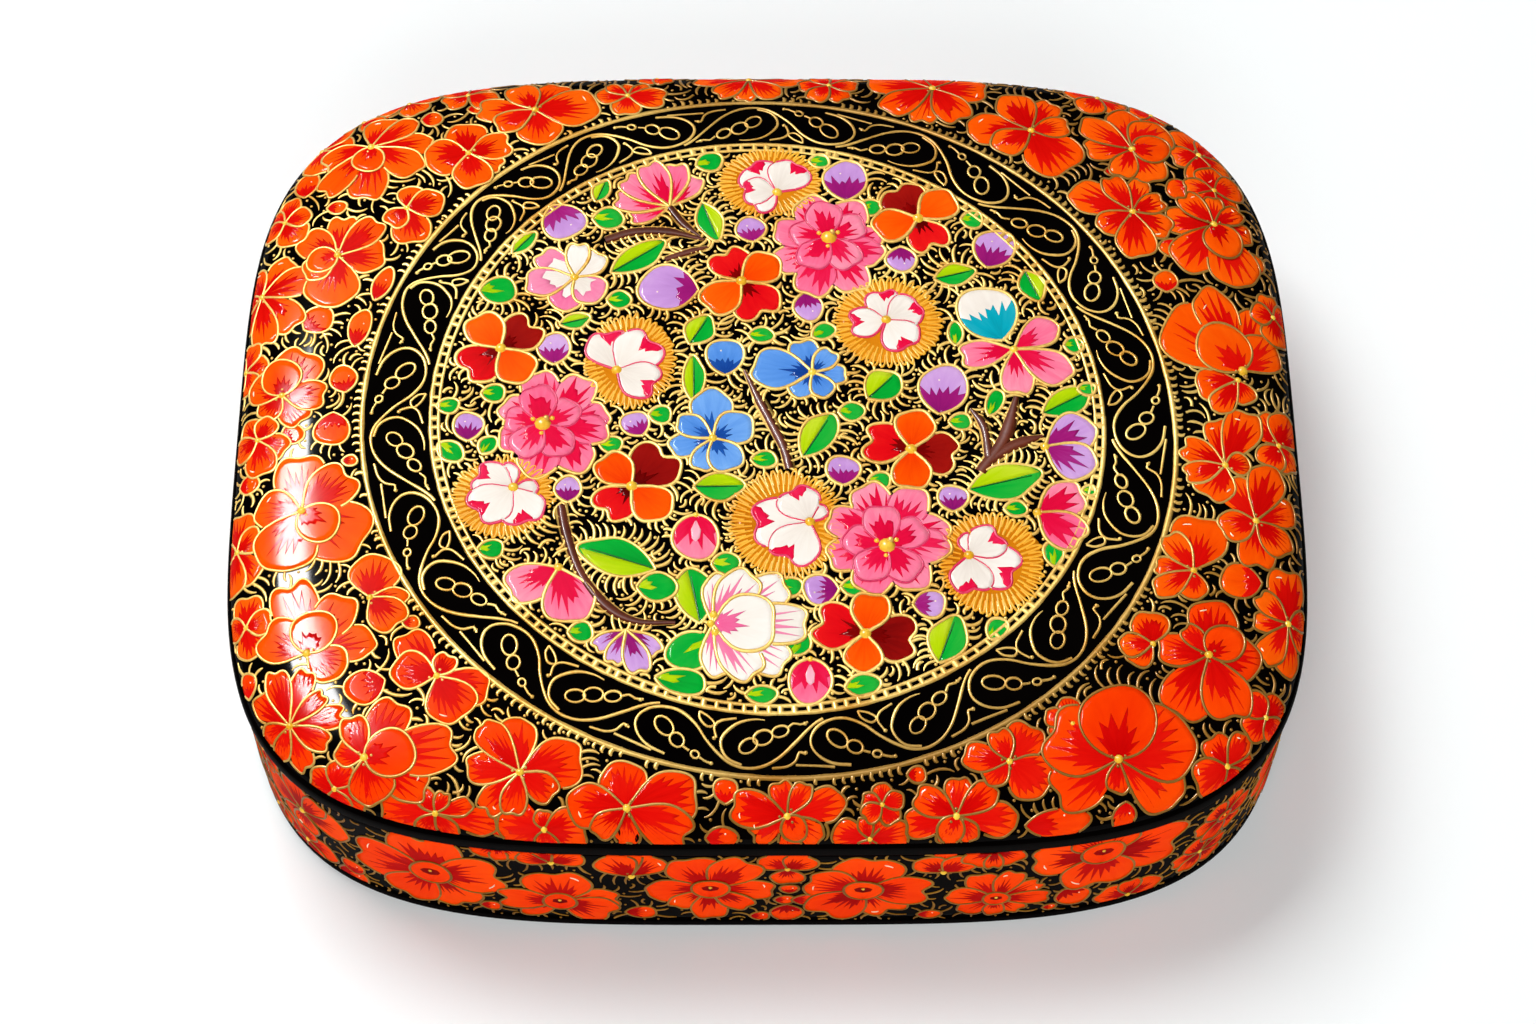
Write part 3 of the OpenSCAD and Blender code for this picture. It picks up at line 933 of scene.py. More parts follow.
LID_BLOSSOMS = (
    (-66.5, 51.0, ((120, 5), (50, 6), (-10, 5.5), (-80, 6), (190, 5))),
    (-60.5, 56.5, ((30, 6), (100, 5), (-40, 4), (170, 4))),
    (-53.8, 60.0, ((90, 5), (20, 5), (-60, 4.5), (200, 5), (150, 5))),
    (-44.5, 60.0, ((60, 4.5), (140, 4.5), (215, 4), (-30, 5), (0, 4))),
    (-58.2, 49.2, ((70, 6.5), (38, 8), (0, 9), (-35, 9), (-90, 10), (233, 10.5), (205, 7.5)), (-95, 5)),
    (-43.6, 47.0, ((100, 6), (20, 6.3), (-30, 5.5), (-80, 6.5), (190, 6.4))),
    (-34.2, 55.8, ((180, 8.3), (118, 6.5), (58, 7), (5, 9.2), (-78, 7), (215, 6.5))),
    (-20.5, 58.9, ((95, 3), (180, 4.6), (-95, 4.3), (-8, 5.6), (40, 4), (140, 4))),
    (-16.5, 65.2, ((90, 4), (20, 5), (160, 5), (-60, 3.5), (240, 3.5))),
    (-2.5, 63.5, ((180, 8), (140, 7), (90, 6), (40, 7), (0, 8), (-50, 6.5), (-95, 6), (225, 6.5))),
    (9.5, 61.5, ((-60, 4.3), (-125, 4.5), (180, 4.5), (0, 4.2), (60, 4), (120, 4))),
    (25.0, 60.8, ((165, 9.8), (215, 8.8), (-105, 8), (-62, 8.2), (0, 8), (70, 6), (115, 6))),
    (50.0, 60.3, ((90, 5), (20, 5), (-50, 5), (-120, 5), (160, 5))),
    (58.0, 57.2, ((90, 3), (0, 3.5), (-90, 3.5), (180, 3.5))),
    (39.2, 51.5, ((178, 9.3), (112, 8), (62, 7), (12, 5.6), (-58, 9.2), (215, 6.5))),
    (64.2, 48.6, ((110, 6), (50, 5), (-40, 5.5), (-90, 6.5), (200, 4.5))),
    (65.8, 41.4, ((100, 4.5), (20, 5), (-60, 5), (-120, 5), (180, 4.5))),
    (54.0, 48.3, ((182, 6.8), (143, 8.6), (97, 8.3), (45, 7.3), (-65, 6.8), (-112, 5.8)), (6, 5.8)),
    (-70.5, 36.5, ((80, 4.5), (10, 4), (-60, 5), (200, 4), (140, 4))),
    (-73.2, 23.4, ((52, 7), (15, 8), (-48, 8.7), (-82, 9), (120, 6), (180, 5), (235, 6))),
    (-52.2, 36.9, ((75, 4), (15, 5.3), (-78, 6.4), (-130, 3.8))),
    (-61.9, 28.8, ((85, 7), (45, 8), (-5, 6.8), (-95, 8.9), (145, 6.6), (215, 5.5)), (195, 4.6)),
    (-75.3, 11.0, ((0, 4), (70, 4.5), (-70, 4.5), (140, 4), (220, 4))),
    (-68.6, 5.0, ((68, 8), (-6, 6.3), (-58, 5.8), (148, 5.6), (228, 4.2)), (96, 6.2)),
    (-71.8, -2.0, ((125, 4.2), (-80, 6), (-30, 5), (200, 4.5), (60, 3.8))),
    (-74.0, -20.0, ((90, 6), (30, 4.5), (-60, 6), (-100, 7), (180, 4))),
    (-64.5, -14.8, ((97, 9), (42, 8.6), (-35, 10.6), (-110, 9.6), (172, 6.6)), (-40, 6.4)),
    (-54.2, -29.3, ((83, 6.5), (-48, 6), (-12, 5.2))),
    (-71.6, -32.5, ((90, 4.8), (10, 4), (-70, 5), (180, 3.5))),
    (-62.5, -37.5, ((105, 11.3), (58, 9.6), (10, 9.2), (150, 7.2), (-30, 6)), (76, 6.6)),
    (-44.6, -41.7, ((127, 7.8), (165, 6), (-22, 7.2), (-62, 7.2), (62, 3.5))),
    (-58.5, -57.3, ((150, 4), (60, 4), (-20, 5), (-90, 4))),
    (-64.5, -48.1, ((140, 6.8), (107, 8.4), (75, 8), (42, 6.2), (8, 7.6), (-30, 6.2), (-72, 6.6),
                    (-115, 5), (195, 4.6))),
    (-44.5, -61.2, ((175, 7.5), (12, 5), (-12, 8), (-60, 4), (230, 4), (60, 3), (120, 3.5))),
    (-54.0, -53.3, ((60, 8.7), (5, 12), (-32, 9.6), (-76, 6.4), (160, 4), (110, 6)), (8, 7)),
    (-30.0, -63.6, ((170, 6), (0, 5.5), (90, 2.5), (-90, 3))),
    (-33.1, -55.9, ((98, 7.6), (127, 8.6), (14, 8.4), (-35, 5.5), (226, 7), (258, 5.6), (172, 7))),
    (-18.9, -60.9, ((98, 6.2), (14, 9.2), (175, 7.6), (-26, 8.9), (-92, 4.8), (216, 5.4))),
    (2.4, -62.0, ((102, 4.7), (58, 5), (17, 7.6), (168, 7.3), (210, 5.4), (-35, 5.5), (-80, 4.5)),
     (-60, 3.6)),
    (13.5, -65.0, ((170, 5), (110, 3), (60, 3), (10, 5), (-60, 2.5), (-120, 2.5))),
    (15.0, -60.5, ((90, 2.9), (20, 2.9), (160, 2.7), (215, 2.9), (-50, 2.8))),
    (24.9, -62.0, ((85, 5.2), (38, 6.4), (-4, 8), (150, 6), (190, 6.6), (250, 4), (-50, 4)), (250, 3.8)),
    (32.0, -54.5, ((57, 6), (172, 6), (-38, 6.2), (110, 4.6), (218, 4.2))),
    (40.6, -49.0, ((100, 3.8), (160, 3.8), (215, 3.4), (30, 3))),
    (61.8, -54.2, ((122, 4.6), (60, 5.2), (20, 4.2), (215, 5.2), (-55, 3.8))),
    (46.6, -54.0, ((213, 9.8), (-32, 9.8), (155, 10), (24, 10.6), (-90, 4.5)), (88, 10.8)),
    (67.4, -46.8, ((45, 4), (135, 4), (225, 4), (-45, 3.6))),
    (71.4, -32.2, ((86, 8.4), (137, 5.6), (185, 5), (237, 7.6), (268, 8), (20, 4), (-40, 5))),
    (59.6, -38.2, ((80, 8.3), (172, 6.7), (243, 10), (-70, 9.7), (-4, 7), (125, 5)), (40, 5.8)),
    (52.0, -36.8, ((95, 4.9), (185, 4.5), (222, 4.2))),
    (58.3, -25.0, ((78, 8.6), (120, 6.2), (175, 5.2), (215, 6.4), (262, 4.5))),
    (72.2, -3.0, ((120, 5.5), (62, 6), (-60, 4.5), (-120, 4.5))),
    (67.7, -16.3, ((115, 7.1), (72, 9.6), (28, 6.8), (-46, 6.3), (-92, 7.6), (200, 5.3))),
    (63.9, -7.5, ((95, 7.4), (65, 10), (152, 6.5), (200, 6), (243, 6.2), (10, 3.6))),
    (66.8, 7.2, ((200, 6.3), (238, 6.6), (-75, 4))),
    (67.6, 8.9, ((137, 13), (108, 14), (78, 11), (48, 7.5)), (125, 8.6)),
    (73.2, 19.5, ((100, 4), (20, 4), (-80, 5), (180, 3.5))),
    (65.2, 34.7, ((178, 7.2), (132, 6.5), (86, 5), (35, 5.2), (-14, 6), (-70, 11.2), (240, 9.6)), (-68, 6.2)),
    (53.3, 36.2, ((158, 9.4), (118, 7), (76, 6), (28, 5.2), (-35, 6.2), (-88, 8.2), (215, 6))),
)
LID_BUDS = (
    (-67.7, 43.2, 5, 4, 90), (-49.5, 54.5, 3.2, 3.2, 0), (-43, 56.4, 2.6, 2.2, 0),
    (-64.2, 17.5, 4.8, 4.8, 40), (-58, 15.6, 6.5, 3.2, 80), (-55.1, 23.2, 6, 2.8, 70),
    (-59.8, 6.9, 4.6, 4, 100), (-61, -1.4, 5.6, 5.2, -90), (-66.7, -1.8, 3.4, 3.6, 30),
    (-58.2, -6.9, 2.2, 1.8, 0), (-72.8, -9.2, 3.4, 3.2, 0), (-54.2, -43, 5.6, 5.2, 200),
    (-71.2, -41.4, 4, 3, 90), (-48.4, -33.4, 2.4, 2, 0), (-5.8, -58.6, 3.6, 3.2, 90),
    (-6.4, -64.8, 4.4, 3, 0), (19.6, -56.4, 2.6, 2.4, 0), (47.7, -61.7, 4, 3.4, -90), (38.6, -62.8, 9, 4, 5),
    (64.9, -26.3, 6, 5.6, 180), (57.4, 23.7, 3.8, 3.6, 90), (60.5, 41, 4, 4, 200), (50.5, 43.7, 1.8, 1.6, 0),
    (58.4, 30, 3.4, 3, 240), (-62.6, 37.8, 3, 2.4, 0), (-36, -63, 7, 3, -20), (70.8, 28.6, 4, 4, 60),
)

lid = Painting(lid_bed, seed=11)
# Toward the front of the lid the orange is a redder one, and the wall is painted with that too.
REDDER_FROM = -38
for spot in LID_BUDS:
    orange_bud(lid, *spot, paint="deep orange" if spot[1] < REDDER_FROM else "orange")
for spot in LID_BLOSSOMS:
    if spot[1] < REDDER_FROM:
        blossom(lid, *spot, paint="deep orange", pull=1.08)
    else:
        blossom(lid, *spot, paint="orange", pull=0.88 if spot[0] < -30 else 0.96)

# The front of the wall, then its sides and back, where the same blossoms go on in turn.
WALL_BLOSSOMS = (
    (-66.5, 4.8, ((10, 5.5), (90, 4.5), (170, 5.5), (-60, 4), (240, 4))),
    (-66.0, 14.3, ((180, 8.5), (100, 7), (15, 8), (-85, 5.5), (235, 6), (55, 7))),
    (-36.2, 24.0, ((-50, 4.6), (-90, 4.6), (-130, 4.6))),
    (-29.2, 19.6, ((150, 4.8), (110, 6.2), (70, 6.2), (30, 4.8))),
    (-18.5, 16.2, ((60, 6.5), (120, 6.5), (90, 7.2))),
    (2.5, 18.3, ((130, 4.6), (50, 4.6), (-90, 4.3))),
    (23.5, 17.0, ((90, 6), (50, 5), (130, 5))),
    (30.1, 23.0, ((-50, 5), (-90, 5), (-130, 5))),
    (-46.0, 12.8, ((95, 10.2), (8, 10.2), (-64, 9.8), (-117, 10.2), (180, 11.2)), None, 3.0, True),
    (-28.5, 8.0, ((205, 7), (-25, 8.2), (8, 8.5), (178, 8.4), (92, 9)), None, 2.4, True),
    (-7.9, 12.7, ((112, 9.2), (58, 9.5), (-6, 8.4), (-92, 9), (188, 8.6), (-48, 7.5), (228, 7.5)), None, 2.6),
    (12.8, 12.0, ((84, 9.6), (-3, 9.3), (-60, 8.4), (232, 9.5), (158, 8.4)), None, 2.7, True),
    (31.1, 8.3, ((112, 8), (75, 8), (35, 7), (-5, 7.2), (-50, 5.6), (-92, 5), (-140, 6), (165, 7)),
     None, 1.9),
    (45.1, 18.7, ((180, 10), (-93, 10.2), (-15, 12.2), (55, 6), (125, 6)), None, 3.0, True),
    (50.1, 3.2, ((30, 5), (90, 4.5), (150, 5))),
    (60.8, 7.7, ((45, 4.5), (110, 4.5), (180, 4.5), (240, 4.5), (-50, 5), (0, 4.5))),
    (64.1, 14.7, ((60, 5), (120, 5), (180, 5), (240, 5), (-60, 5), (0, 5)), None, 1.2),
)
WALL_BUDS = (
    (-58.5, 2.9, 5, 5, 0), (-58.2, 6, 4, 3.6, 90), (-17.5, 5, 4.4, 3.6, 0), (-38.2, 5, 3, 2.6, 0),
    (2.8, 12.3, 2.6, 2.6, 90), (2.1, 9, 2.8, 2.6, 0), (5.1, 9, 4, 3.2, 0), (2.5, 5, 5, 4.6, -90),
    (-1.2, 3.8, 2.8, 2.6, 0), (22.1, 4, 3.4, 2.6, 0), (38.8, 4, 2, 1.8, 0), (41.8, 6.7, 5.6, 5, -60),
)
ROUND_BLOSSOMS = (
    (11.5, ((90, 9.6), (18, 9.4), (-54, 9), (-126, 9), (162, 9.6)), 2.8, True),
    (13.0, ((100, 8), (50, 8), (0, 7.4), (-50, 8), (-100, 8.4), (-150, 8), (160, 7.6)), 2.2, False),
    (9.5, ((115, 8.6), (65, 8.6), (10, 8.4), (-40, 6), (-90, 6.4), (-140, 6), (170, 8.4)), 2.0, False),
    (12.0, ((80, 9.8), (5, 9.6), (-70, 8.6), (-115, 8), (178, 9.8)), 2.7, True),
)
ROUND_START = 80.0
ROUND_GAP = 164.0
BLOSSOMS_ROUND = 18
WALL_PULL = 0.8

wall = Painting(wall_bed, seed=23)
ON_WALL = {"paint": "deep orange", "flame": "wall flame"}
for spot in WALL_BUDS:
    orange_bud(wall, *spot, **ON_WALL)
pitch = (WALL_LENGTH - ROUND_GAP) / (BLOSSOMS_ROUND - 1)
for number in range(BLOSSOMS_ROUND):
    x = ROUND_START + pitch * number
    between = x + pitch / 2
    height, petals, disc, heart = ROUND_BLOSSOMS[number % len(ROUND_BLOSSOMS)]
    up, down = (3.5, 4.5) if number % 2 else (5.5, 3.6)
    blossom(wall, between, 19.5, ((60, up), (120, up), (-90, 4.4), (180, 4), (0, 4)), pull=WALL_PULL,
            **ON_WALL)
    blossom(wall, between + 0.6, 4.6, ((90, down), (170, 4), (10, 4), (-60, 3), (240, 3)), pull=WALL_PULL,
            **ON_WALL)
    orange_bud(wall, between - 1, 11.8, 3.4, 3, 60, **ON_WALL)
    blossom(wall, x, height, petals, None, disc, heart, pull=WALL_PULL, **ON_WALL)
for spot in WALL_BLOSSOMS:
    blossom(wall, *spot, pull=WALL_PULL, **ON_WALL)


# ---------------------------------------------------------------- ring and vine
# Two gold rings frame the middle of the lid. Between them a vine of fourteen crests is drawn on the
# bare black with a fine brush, with a hook, two chains of loops and a few sprigs to each wave.
# The rings were drawn by eye, so their radius strays: (angle in degrees, radius in mm).
OUTER_RING = ((0, 57.0), (30, 56.6), (60, 56.3), (90, 57.2), (120, 57.9), (150, 57.5), (180, 56.8),
              (210, 56.3), (240, 56.3), (265, 56.4), (285, 57.7), (315, 58.6), (340, 58.0))
INNER_RING = ((0, 47.0), (30, 46.9), (60, 47.3), (90, 48.5), (120, 48.9), (150, 47.8), (180, 47.1),
              (210, 46.7), (240, 46.7), (270, 47.6), (300, 48.0), (330, 47.8))
TRELLIS_DEPTH = 1.1
TRELLIS_BARS = 168
CRESTS = (11, 37, 66, 92, 118, 138, 157, 184, 212, 240, 267, 292, 317, 342)
VINE_WIDTH = 0.24
CHAIN_WIDTH = 0.19

# Points are (share of the way to the next crest, radius in mm), from a crest at share 0, drawn for
# rings of these two radii. Loops are (share, radius, half length, half width, tilt in degrees).
DRAWN_INNER, DRAWN_OUTER = 46.9, 56.75
STEM = ((-0.43, 55.4), (-0.52, 54.9), (-0.59, 53.8), (-0.63, 52.3), (-0.63, 50.8), (-0.59, 49.4),
        (-0.53, 48.6), (-0.455, 48.3), (-0.38, 48.7), (-0.30, 50.0), (-0.23, 52.0), (-0.15, 53.9),
        (-0.08, 55.1), (0.0, 55.5), (0.09, 55.0), (0.18, 53.6), (0.28, 51.3), (0.36, 49.5), (0.42, 48.5),
        (0.46, 48.1))
CREST_HOOK = ((-0.03, 55.1), (-0.10, 54.4), (-0.14, 53.1), (-0.15, 51.4), (-0.11, 49.7), (-0.05, 48.5),
              (0.03, 47.95), (0.095, 48.0))
CREST_LOOPS = ((0.0, 52.1, 1.35, 0.95, -35), (0.085, 50.7, 1.35, 1.05, -30), (0.19, 49.7, 1.15, 0.8, -25))
CREST_TAIL = ((0.24, 49.2), (0.28, 48.5), (0.32, 48.7), (0.37, 48.4))
TROUGH_LOOPS = ((-0.475, 51.3, 1.6, 1.05, 45), (-0.386, 52.9, 1.1, 0.9, 45), (-0.275, 54.5, 0.6, 0.5, 30))
TROUGH_LINKS = (((-0.35, 53.6), (-0.31, 54.1)), ((-0.25, 54.8), (-0.21, 55.3), (-0.18, 55.4)))
OUTER_SPRIG = (((0.146, 55.3), (0.228, 55.0), (0.278, 54.2), (0.304, 52.9), (0.34, 53.2)),
               ((0.278, 54.8), (0.38, 55.0), (0.49, 55.4)))
INNER_SPRIG = (((-0.31, 47.8), (-0.30, 48.9), (-0.25, 49.9), (-0.21, 49.4), (-0.25, 48.4), (-0.31, 47.8)),
               ((-0.19, 51.4), (-0.21, 49.8), (-0.18, 48.7), (-0.09, 48.0)))
KNOBS = ((0.345, 48.6), (0.33, 53.0), (-0.19, 51.5), (-0.185, 55.4))


def ring_radius(ring, angle):
    """The radius of a ring at an angle in radians, eased between the points it was read at."""
    places, radii = np.transpose(ring)
    degrees = np.degrees(angle)
    return np.mean([np.interp(degrees + ease, places, radii, period=360) for ease in (-12, -6, 0, 6, 12)], 0)


def at_angle(radius, angle):
    """Points round the middle of the lid."""
    return np.stack([radius * np.cos(angle), radius * np.sin(angle)], -1)


def round_path(ring, inward=0.0):
    """A closed line round the ring, or some way in from it."""
    angles = np.linspace(0, 2 * math.pi, 721)
    return at_angle(ring_radius(ring, angles) - inward, angles)


def on_ring(crest, before, after, points):
    """Points of the vine, fitted between the two rings."""
    points = np.asarray(points, float)
    share = points[:, 0]
    angle = np.radians(crest + np.where(share < 0, share * before, share * after))
    inner, outer = ring_radius(INNER_RING, angle), ring_radius(OUTER_RING, angle)
    radius = inner + (points[:, 1] - DRAWN_INNER) / (DRAWN_OUTER - DRAWN_INNER) * (outer - inner)
    return at_angle(radius, angle)


lid.line("gold ring", round_path(OUTER_RING), 0.42)
lid.line("gold ring", round_path(INNER_RING), 0.36)
lid.line("gold ring", round_path(INNER_RING, TRELLIS_DEPTH), 0.27)
for number in range(TRELLIS_BARS):
    angle = math.radians(number * 360 / TRELLIS_BARS + lid.chance.uniform(-0.4, 0.4))
    bar = ring_radius(INNER_RING, angle) - np.array([0, TRELLIS_DEPTH / 2, TRELLIS_DEPTH])
    lid.line("gold ring", at_angle(bar, angle), lid.chance.uniform(0.34, 0.6))

for number, crest in enumerate(CRESTS):
    before = (crest - CRESTS[number - 1]) % 360
    after = (CRESTS[(number + 1) % len(CRESTS)] - crest) % 360
    tail_shift, outer_shift, inner_shift, _ = lid.chance.uniform(-0.012, 0.012, 4)

    def draw(points, thick=CHAIN_WIDTH, shift=0.0, taper=0.0):
        points = np.asarray(points, float) + (shift, 0)
        lid.line("gold vine", smooth_path(on_ring(crest, before, after, points), 0.5), thick, taper=taper)

    draw(STEM, VINE_WIDTH)
    draw(CREST_HOOK, VINE_WIDTH, taper=1)
    draw(CREST_TAIL, shift=tail_shift)
    for sprig in OUTER_SPRIG:
        draw(sprig, shift=outer_shift)
    for sprig in INNER_SPRIG:
        draw(sprig, shift=inner_shift)
    for tie in TROUGH_LINKS:
        draw(tie)
    for share, radius, long_half, short_half, tilt in CREST_LOOPS + TROUGH_LOOPS:
        middle = on_ring(crest, before, after, [(share, radius)])[0]
        outward = middle / np.linalg.norm(middle)
        sideways = np.array([-outward[1], outward[0]])
        turn = np.linspace(0, 2 * math.pi, 19)
        tilt = math.radians(tilt + 200 * lid.chance.uniform(-0.04, 0.04))
        a, b = long_half * np.cos(turn), short_half * np.sin(turn)
        u, v = a * math.cos(tilt) - b * math.sin(tilt), a * math.sin(tilt) + b * math.cos(tilt)
        lid.line("gold vine", middle + u[:, None] * sideways + v[:, None] * outward, CHAIN_WIDTH)
    for x, y in on_ring(crest, before, after, KNOBS):
        lid.dot("gold", x, y, 0.34)


# ---------------------------------------------------------------- flowers of the middle
# Inside the rings the flowers are of many kinds and colours, set close like a bouquet. Four brown
# boughs and the leaves are laid first, and the flowers over them.
PAINTS.update({
    "rose pink": poster_paint("rose pink poster colour", "#F04678", "#FA7094", "#FC9CB0"),
    "crimson": poster_paint("crimson dry-brush strokes", "#DA0A38", "#E61040", "#EE2A5A"),
    "shell white": poster_paint("shell white poster colour", "#E6DACE", "#F4EBE0", "#FCF8F0"),
    "candy pink": poster_paint("candy pink dry-brush strokes", "#EE6096", "#F17CA4", "#F49CB8"),
    "pillar red": poster_paint("pillar red poster colour", "#C00608", "#E00A14", "#EE1E1A"),
    "wine": poster_paint("wine red poster colour", "#6A0406", "#8E0C0A", "#A81810"),
    "sky blue": poster_paint("cobalt and white poster colour", "#3A78D0", "#5A94E2", "#7CB0F0"),
    "navy": poster_paint("navy dry-brush strokes", "#123A8C", "#1E52A6", "#2E68BE"),
    "lilac": poster_paint("lilac poster colour", "#B47EC6", "#C896D8", "#DCB4E4"),
    "purple": poster_paint("purple dry-brush strokes", "#841266", "#A01C74", "#B03A90"),
    "leaf green": poster_paint("leaf green poster colour", "#04922A", "#08AC35", "#34B43C"),
    "spring green": poster_paint("spring green poster colour", "#94C60C", "#B8D60A", "#D2E040"),
    "teal": poster_paint("teal dry-brush strokes", "#0A8898", "#0AA4B8", "#30B4C4"),
    "halo": poster_paint("golden orange wash", "#B45C08", "#D47C0E", "#E6921A"),
    "fringe": line_paint("golden yellow fringe", "#F0A018", "#FFC03C", 0.0, 0.4),
    "bough": line_paint("brown bough", "#45190A", "#6E301C", 0.0, 0.45),
    "dark vein": line_paint("dark green vein", "#04480F", "#0A6420", 0.0, 0.45),
    "rose seam": line_paint("crimson petal seam", "#D42454", "#E84878", 0.0, 0.4),
    "crimson edge": line_paint("crimson petal edge", "#DC2450", "#EC4870", 0.0, 0.4),
    "shell pink": poster_paint("shell pink poster colour", "#F890A8", "#FBB0C0", "#FCC4D0"),
})
CONTOUR = 0.28


def bough(points, thick):
    """A brown bough, with the gold that edges it drawn wider under it."""
    path = smooth_path(points, 0.6)
    lid.line("gold", path, thick + 0.24, taper=1)
    lid.line("bough", path, thick, 0.06, taper=1)


def leaf(x, y, length, width, aim):
    """A leaf about its own middle, one side of it in a lighter green along a dark vein."""
    body = about_middle(x, y, aim, length, length / 1.1, 50, 0.75, -0.12, width / length / 0.62)
    lid.lay(body, "leaf green", thick=CONTOUR)
    lid.patch(body, "spring green", inner=0.06, outer=0.96, low=0.04, high=0.9, rise=STROKE_RISE, columns=7)
    spine = body.place(np.zeros(8), np.linspace(0.05, 0.85, 8))
    lid.line("dark vein", np.stack(spine, -1), 0.12, body.top(), taper=1)


def bud(x, y, length, width, aim, paint, flame, depth=0.5, fingers=8):
    """A bud about its own middle, its lower part dipped in a second colour."""
    body = lid.lay(cup(x, y, length * 1.08, width * 1.08, aim), paint, thick=CONTOUR)
    lid.dip(body, flame, depth, fingers)
    # A small cream dot on the bud: a painted highlight.
    turn = math.radians(aim) + 0.5
    lid.dot("glint", x + 0.22 * length * math.cos(turn), y + 0.22 * length * math.sin(turn), 0.16, body.top())


def tulip(x, y, length, width, aim):
    """A closed pink flower with one pale petal down its middle."""
    body = lid.lay(touch(x, y, length, width, aim), "rose pink", thick=CONTOUR)
    lid.dip(body, "crimson", 0.68, 8)
    turn = math.radians(aim)
    lid.lay(cup(x - 0.14 * length * math.cos(turn), y - 0.14 * length * math.sin(turn), length * 0.46,
                width * 0.22, aim), "shell pink", outlined=None)
    lid.dot("pollen", body.x, body.y, 0.5, PAINT_LIFT)


def rose(x, y, across, along, inner_x, inner_y):
    """A double rose: an outer round of wide pink petals and an inner one, all streaked with crimson."""
    flower = object()
    outer = (x, y, range(12, 360, 48), 0.56, 34, 0.9)
    inner = (inner_x, inner_y, range(32, 372, 68), 0.39, 46, 0.82)
    for spot_x, spot_y, aims, share, spread, pull in (outer, inner):
        for aim in every_other(aims):
            turn = math.radians(aim)
            length = share * math.hypot(across * math.cos(turn), along * math.sin(turn))
            petal = lid.lay(Petal(spot_x, spot_y, aim, length, spread, 0.36, 0.02), "rose pink",
                            thick=CONTOUR, flower=flower, seam="rose seam")
            lid.flame(petal, "crimson", pull, fingers=7, low=-0.92, high=0.92, gap=0.72)
    lid.dot("pollen", inner_x, inner_y, 1.35, petal.top())
    lid.dot("gold", inner_x + 0.5, inner_y + 0.6, 0.45, petal.top() + 0.65)
    for turn in np.radians((35, 150, 265)):
        lid.dot("pollen", inner_x + 1.6 * math.cos(turn), inner_y + 1.6 * math.sin(turn), 0.4, petal.top())


# The ragged inner edge of the crimson tip on a pansy's petal, as shares of the petal's length, and
# one golden loop of the fringe: (share of the way out, mm to the side).
TIP_EDGE = np.array([0.88, 0.8, 0.7, 0.78, 0.66, 0.78, 0.9])
RUFFLE = ((0.62, 0), (0.9, 0.05), (1, 0.35), (0.97, 0.7), (0.76, 0.62))
RUFFLE_PITCH = 1.05


def pansy(x, y, halo_x, halo_y, halo_width, halo_height, petals):
    """A white flower with crimson tips, in a ruffled fringe of golden loops."""
    round_wash = Petal(halo_x - halo_width, halo_y, 0, halo_width * 2, 88, 1.0, 0.0, halo_height / halo_width)
    wash = lid.lay(round_wash, "halo", outlined=None)
    flower = object()
    for aim, length in petals:
        petal = lid.lay(Petal(x, y, aim, length * 0.97, 53, 0.28, 0.12), "shell white",
                        outlined="crimson edge", flower=flower, seam="crimson edge")
        if length > LARGE_PETAL:
            lid.patch(petal, "crimson", inner=TIP_EDGE, outer=np.full(7, PETAL_END), low=-0.38, high=0.14,
                      rise=STROKE_RISE)
    lid.dot("pollen", x, y, 0.85, petal.top())
    laid_petals = [shape["loop"] for shape in lid.shapes if shape["flower"] is flower]
    middle = np.array([halo_x, halo_y])
    ruffles = int(2 * math.pi * (halo_width + halo_height) / 2 / RUFFLE_PITCH)
    for number in range(ruffles):
        turn = 2 * math.pi * number / ruffles
        outward = np.array([math.cos(turn), math.sin(turn)]) * (halo_width, halo_height)
        side = np.array([-math.sin(turn), math.cos(turn)])
        far = lid.chance.uniform(1.0, 1.1)
        loop = [middle + outward * (far if out == 1 else out) + side * aside for out, aside in RUFFLE]
        loop = smooth_path(loop, 0.5)
        loop = loop[~np.any([within(loop, other) for other in laid_petals], axis=0)]
        if len(loop) > 4:
            lid.line("fringe", loop, 0.2, wash.rim())


def spray(x, y, petals, paint, flame, reach=0.6, spread=None, fingers=5, notch=0.05, eye=True, tips=0.0):
    """A small flower of any colour, from its middle or its base. Its strokes start from the petals'
    tips where tips says how far."""
    aims = np.array([aim for aim, _ in petals], float)
    spreads = petal_spreads(aims) if spread is None else np.full(len(aims), spread)
    for (aim, length), half_angle in every_other(zip(petals, spreads)):
        petal = lid.lay(Petal(x, y, aim, length * 1.04, half_angle, 0.34, notch), paint, thick=CONTOUR)
        if tips and 100 < aim % 360 < 340:
            ragged = 1 - tips * lid.chance.uniform(0.5, 1.1, 9)
            lid.patch(petal, flame, inner=ragged, outer=np.full(9, PETAL_END), low=-0.9, high=0.9,
                      rise=STROKE_RISE)
        if not tips:
            lid.flame(petal, flame, reach, fingers)
    if eye:
        lid.dot("pollen", x, y, 0.75, petal.top())


def crosswise(x, y, petals):
    """A flower whose petals differ in colour: (aim, length, paint, stroke paint)."""
    for aim, length, paint, flame in petals:
        if paint == "orange":
            petal = lid.lay(Petal(x, y, aim, length, 46, 0.3, 0.02), paint, thick=CONTOUR)
        else:
            petal = lid.lay(Petal(x, y, aim, length * 1.08, 52, 0.27, 0.2), paint, thick=CONTOUR)
            lid.flame(petal, flame, reach=0.5, fingers=5)
    lid.dot("pollen", x, y, 0.95, petal.top())


